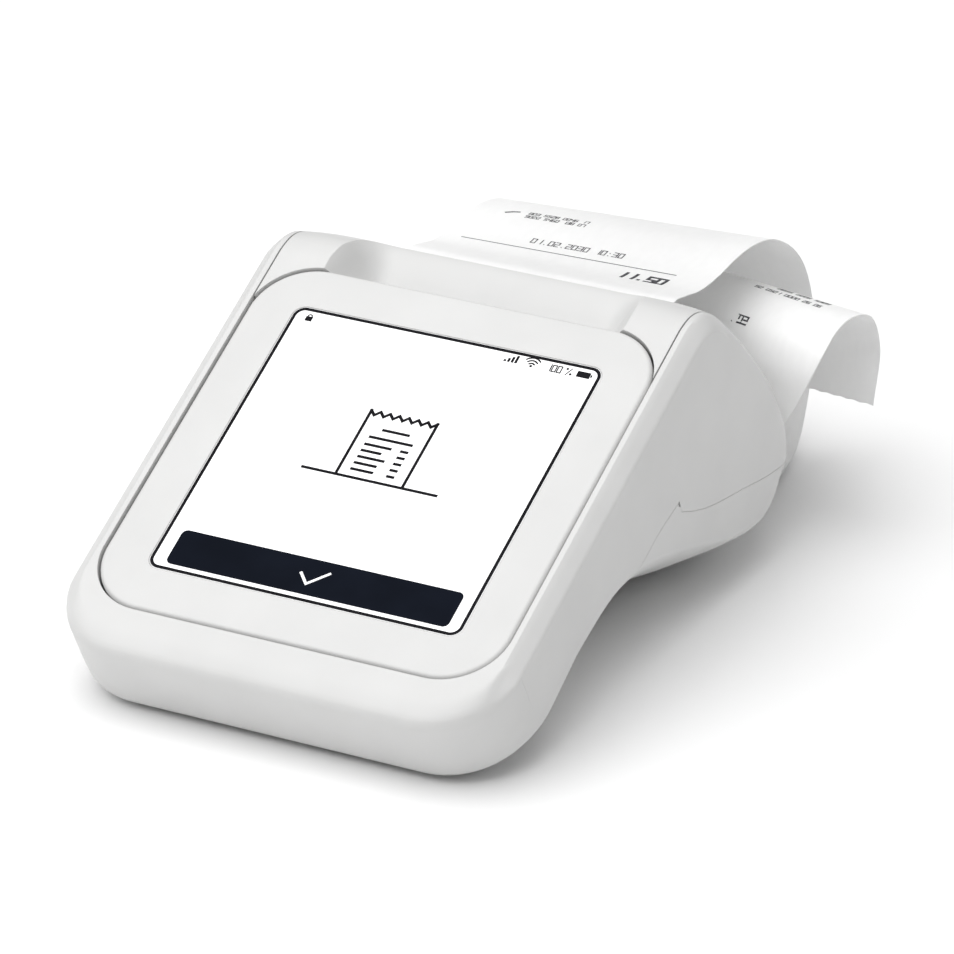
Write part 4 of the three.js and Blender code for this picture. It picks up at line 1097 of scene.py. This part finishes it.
FINISHES = {
    "white_shell": white_shell(),
    "grey_plastic": moulded("grey_plastic", (0.32, 0.33, 0.34), 0.5, 0.3, 0.015, 0.06),
    "black_plastic": moulded("black_plastic", (0.018, 0.018, 0.02), 0.45, 0.3, 0.02, 0.25),
    "display_glass": lit_display(),
    "board_green": circuit_board(),
    "steel": brushed("steel", (0.55, 0.56, 0.57), 0.32),
    "contact_gold": brushed("contact_gold", (0.72, 0.5, 0.2), 0.28),
    "black_rubber": rubber("black_rubber", (0.025, 0.025, 0.027)),
    "grey_rubber": rubber("grey_rubber", (0.2, 0.2, 0.21)),
    "receipt_paper": paper(),
    "paper_roll": wound("paper_roll", (0.82, 0.82, 0.81), 0.25, 0.7),
    "roll_cardboard": wound("roll_cardboard", (0.36, 0.23, 0.12), 0.4, 0.85),
    "cell_wrap": battery_wrap(),
    "screen_line": dark_ink("screen_line", (0.012, 0.012, 0.014)),
    "screen_button": dark_ink("screen_button", (0.006, 0.008, 0.014)),
    "thermal_print": thermal_print(),
    "lit_white": lit_white(),
}
OWN_FINISH = {
    "paper_roll": "paper_roll", "screen_outline": "screen_line", "screen_symbols": "screen_line",
    "screen_button": "screen_button", "screen_tick": "lit_white", "receipt_print": "thermal_print",
}


def dress(piece, slot):
    piece.data.materials.clear()
    piece.data.materials.append(FINISHES[OWN_FINISH.get(piece.name, slot)].material)


WELD = 0.002


def softened():
    """A modifier group that shades a CAD node's facets smooth and keeps its real edges sharp."""
    group = bpy.data.node_groups.new("softened", "GeometryNodeTree")
    group.interface.new_socket("Geometry", in_out="INPUT", socket_type="NodeSocketGeometry")
    group.interface.new_socket("Geometry", in_out="OUTPUT", socket_type="NodeSocketGeometry")
    start, end = group.nodes.new("NodeGroupInput"), group.nodes.new("NodeGroupOutput")
    weld = group.nodes.new("GeometryNodeMergeByDistance")
    weld.inputs["Distance"].default_value = WELD * MM
    angle = group.nodes.new("GeometryNodeInputMeshEdgeAngle")
    sharp = group.nodes.new("FunctionNodeCompare")
    sharp.inputs["B"].default_value = CUT_SHARP
    normal = group.nodes.new("GeometryNodeSetMeshNormal")
    normal.mode = "SHARPNESS"
    normal.inputs["Remove Custom"].default_value = True
    group.links.new(start.outputs[0], weld.inputs["Geometry"])
    group.links.new(weld.outputs["Geometry"], normal.inputs["Mesh"])
    group.links.new(angle.outputs["Unsigned Angle"], sharp.inputs["A"])
    group.links.new(sharp.outputs["Result"], normal.inputs["Edge Sharpness"])
    group.links.new(normal.outputs["Mesh"], end.inputs[0])
    return group


SOFTENED = softened()
SLOT_OF = {part["node"]: part["material_slot"] for part in frame["record"]["subparts"]}
for name, node in frame["nodes"].items():
    dress(node, SLOT_OF[name])
    node.modifiers.new("softened", "NODES").node_group = SOFTENED
for piece, _, node in MOULDINGS:
    dress(piece, SLOT_OF[node])
for piece in DISPLAY_PIECES:
    dress(piece, "display_glass")
for piece in (sheet, print_on_sheet):
    dress(piece, "receipt_paper")


# ---- Floor, light and camera --------------------------------------------------------------------
FLOOR_HALF = 3000.0


def floor():
    near, far = DISPLAY_CENTRE.y - FLOOR_HALF, DISPLAY_CENTRE.y + FLOOR_HALF
    ground = [(-FLOOR_HALF, near, 0), (FLOOR_HALF, near, 0), (FLOOR_HALF, far, 0), (-FLOOR_HALF, far, 0)]
    plane = made("floor", ground, [[0, 1, 2, 3]])
    made_of = Finish("floor", (0.93, 0.93, 0.93), 0.9)
    made_of.shader.inputs["Specular IOR Level"].default_value = 0.1
    made_of.tinted(made_of.noise(400, 2), 0.004)
    plane.data.materials.append(made_of.material)


def lamp(name, towards, distance, size, power):
    """A square soft light that shines at the display's middle from a direction."""
    light = bpy.data.lights.new(name, "AREA")
    light.shape = "SQUARE"
    light.size = size * MM
    light.energy = power
    lamp_object = bpy.data.objects.new(name, light)
    direction = Vector(towards).normalized()
    lamp_object.location = (DISPLAY_CENTRE + direction * distance) * MM
    lamp_object.rotation_euler = direction.to_track_quat("Z", "Y").to_euler()
    bpy.context.scene.collection.objects.link(lamp_object)


def sky(horizon, zenith):
    """White light from all round that grows with the square of its height."""
    world = bpy.data.worlds.new("studio")
    world.use_nodes = True
    nodes, links = world.node_tree.nodes, world.node_tree.links
    parts = nodes.new("ShaderNodeSeparateXYZ")
    squared = nodes.new("ShaderNodeMath")
    squared.operation = "MULTIPLY"
    strength = nodes.new("ShaderNodeMapRange")
    strength.inputs["To Min"].default_value = horizon
    strength.inputs["To Max"].default_value = zenith
    links.new(nodes.new("ShaderNodeTexCoord").outputs["Generated"], parts.inputs["Vector"])
    for i in range(2):
        links.new(parts.outputs["Z"], squared.inputs[i])
    links.new(squared.outputs["Value"], strength.inputs["Value"])
    nodes["Background"].inputs["Color"].default_value = (1, 1, 1, 1)
    links.new(strength.outputs["Result"], nodes["Background"].inputs["Strength"])
    bpy.context.scene.world = world


AZIMUTH = math.radians(28.0)
ELEVATION = math.radians(24.4)
DISTANCE = 1166.0
LENS = 239.8
SENSOR = 36.0
SHIFT_RIGHT = 18.55  # of the camera from the display's middle
SHIFT_UP = -1.80


def camera():
    back = Vector((math.sin(AZIMUTH) * math.cos(ELEVATION), -math.cos(AZIMUTH) * math.cos(ELEVATION),
                   math.sin(ELEVATION)))
    right = Vector((math.cos(AZIMUTH), math.sin(AZIMUTH), 0))
    up = back.cross(right)
    data = bpy.data.cameras.new("camera")
    data.lens = LENS
    data.sensor_width = SENSOR
    data.clip_end = 20
    view = bpy.data.objects.new("camera", data)
    place = (DISPLAY_CENTRE + back * DISTANCE + right * SHIFT_RIGHT + up * SHIFT_UP) * MM
    turn = Matrix((right, up, back)).transposed().to_4x4()
    view.matrix_world = Matrix.Translation(place) @ turn
    bpy.context.scene.collection.objects.link(view)
    bpy.context.scene.camera = view


SKY_HORIZON = 0.22
SKY_ZENITH = 0.9
KEY_TOWARDS = (-0.25, -0.3, 1.0)
KEY_DISTANCE = 1800
KEY_SIZE = 2600
KEY_POWER = 38

floor()
sky(SKY_HORIZON, SKY_ZENITH)
lamp("key", KEY_TOWARDS, KEY_DISTANCE, KEY_SIZE, KEY_POWER)
camera()
bpy.context.scene.view_settings.view_transform = "Standard"
bpy.context.scene.view_settings.look = "None"
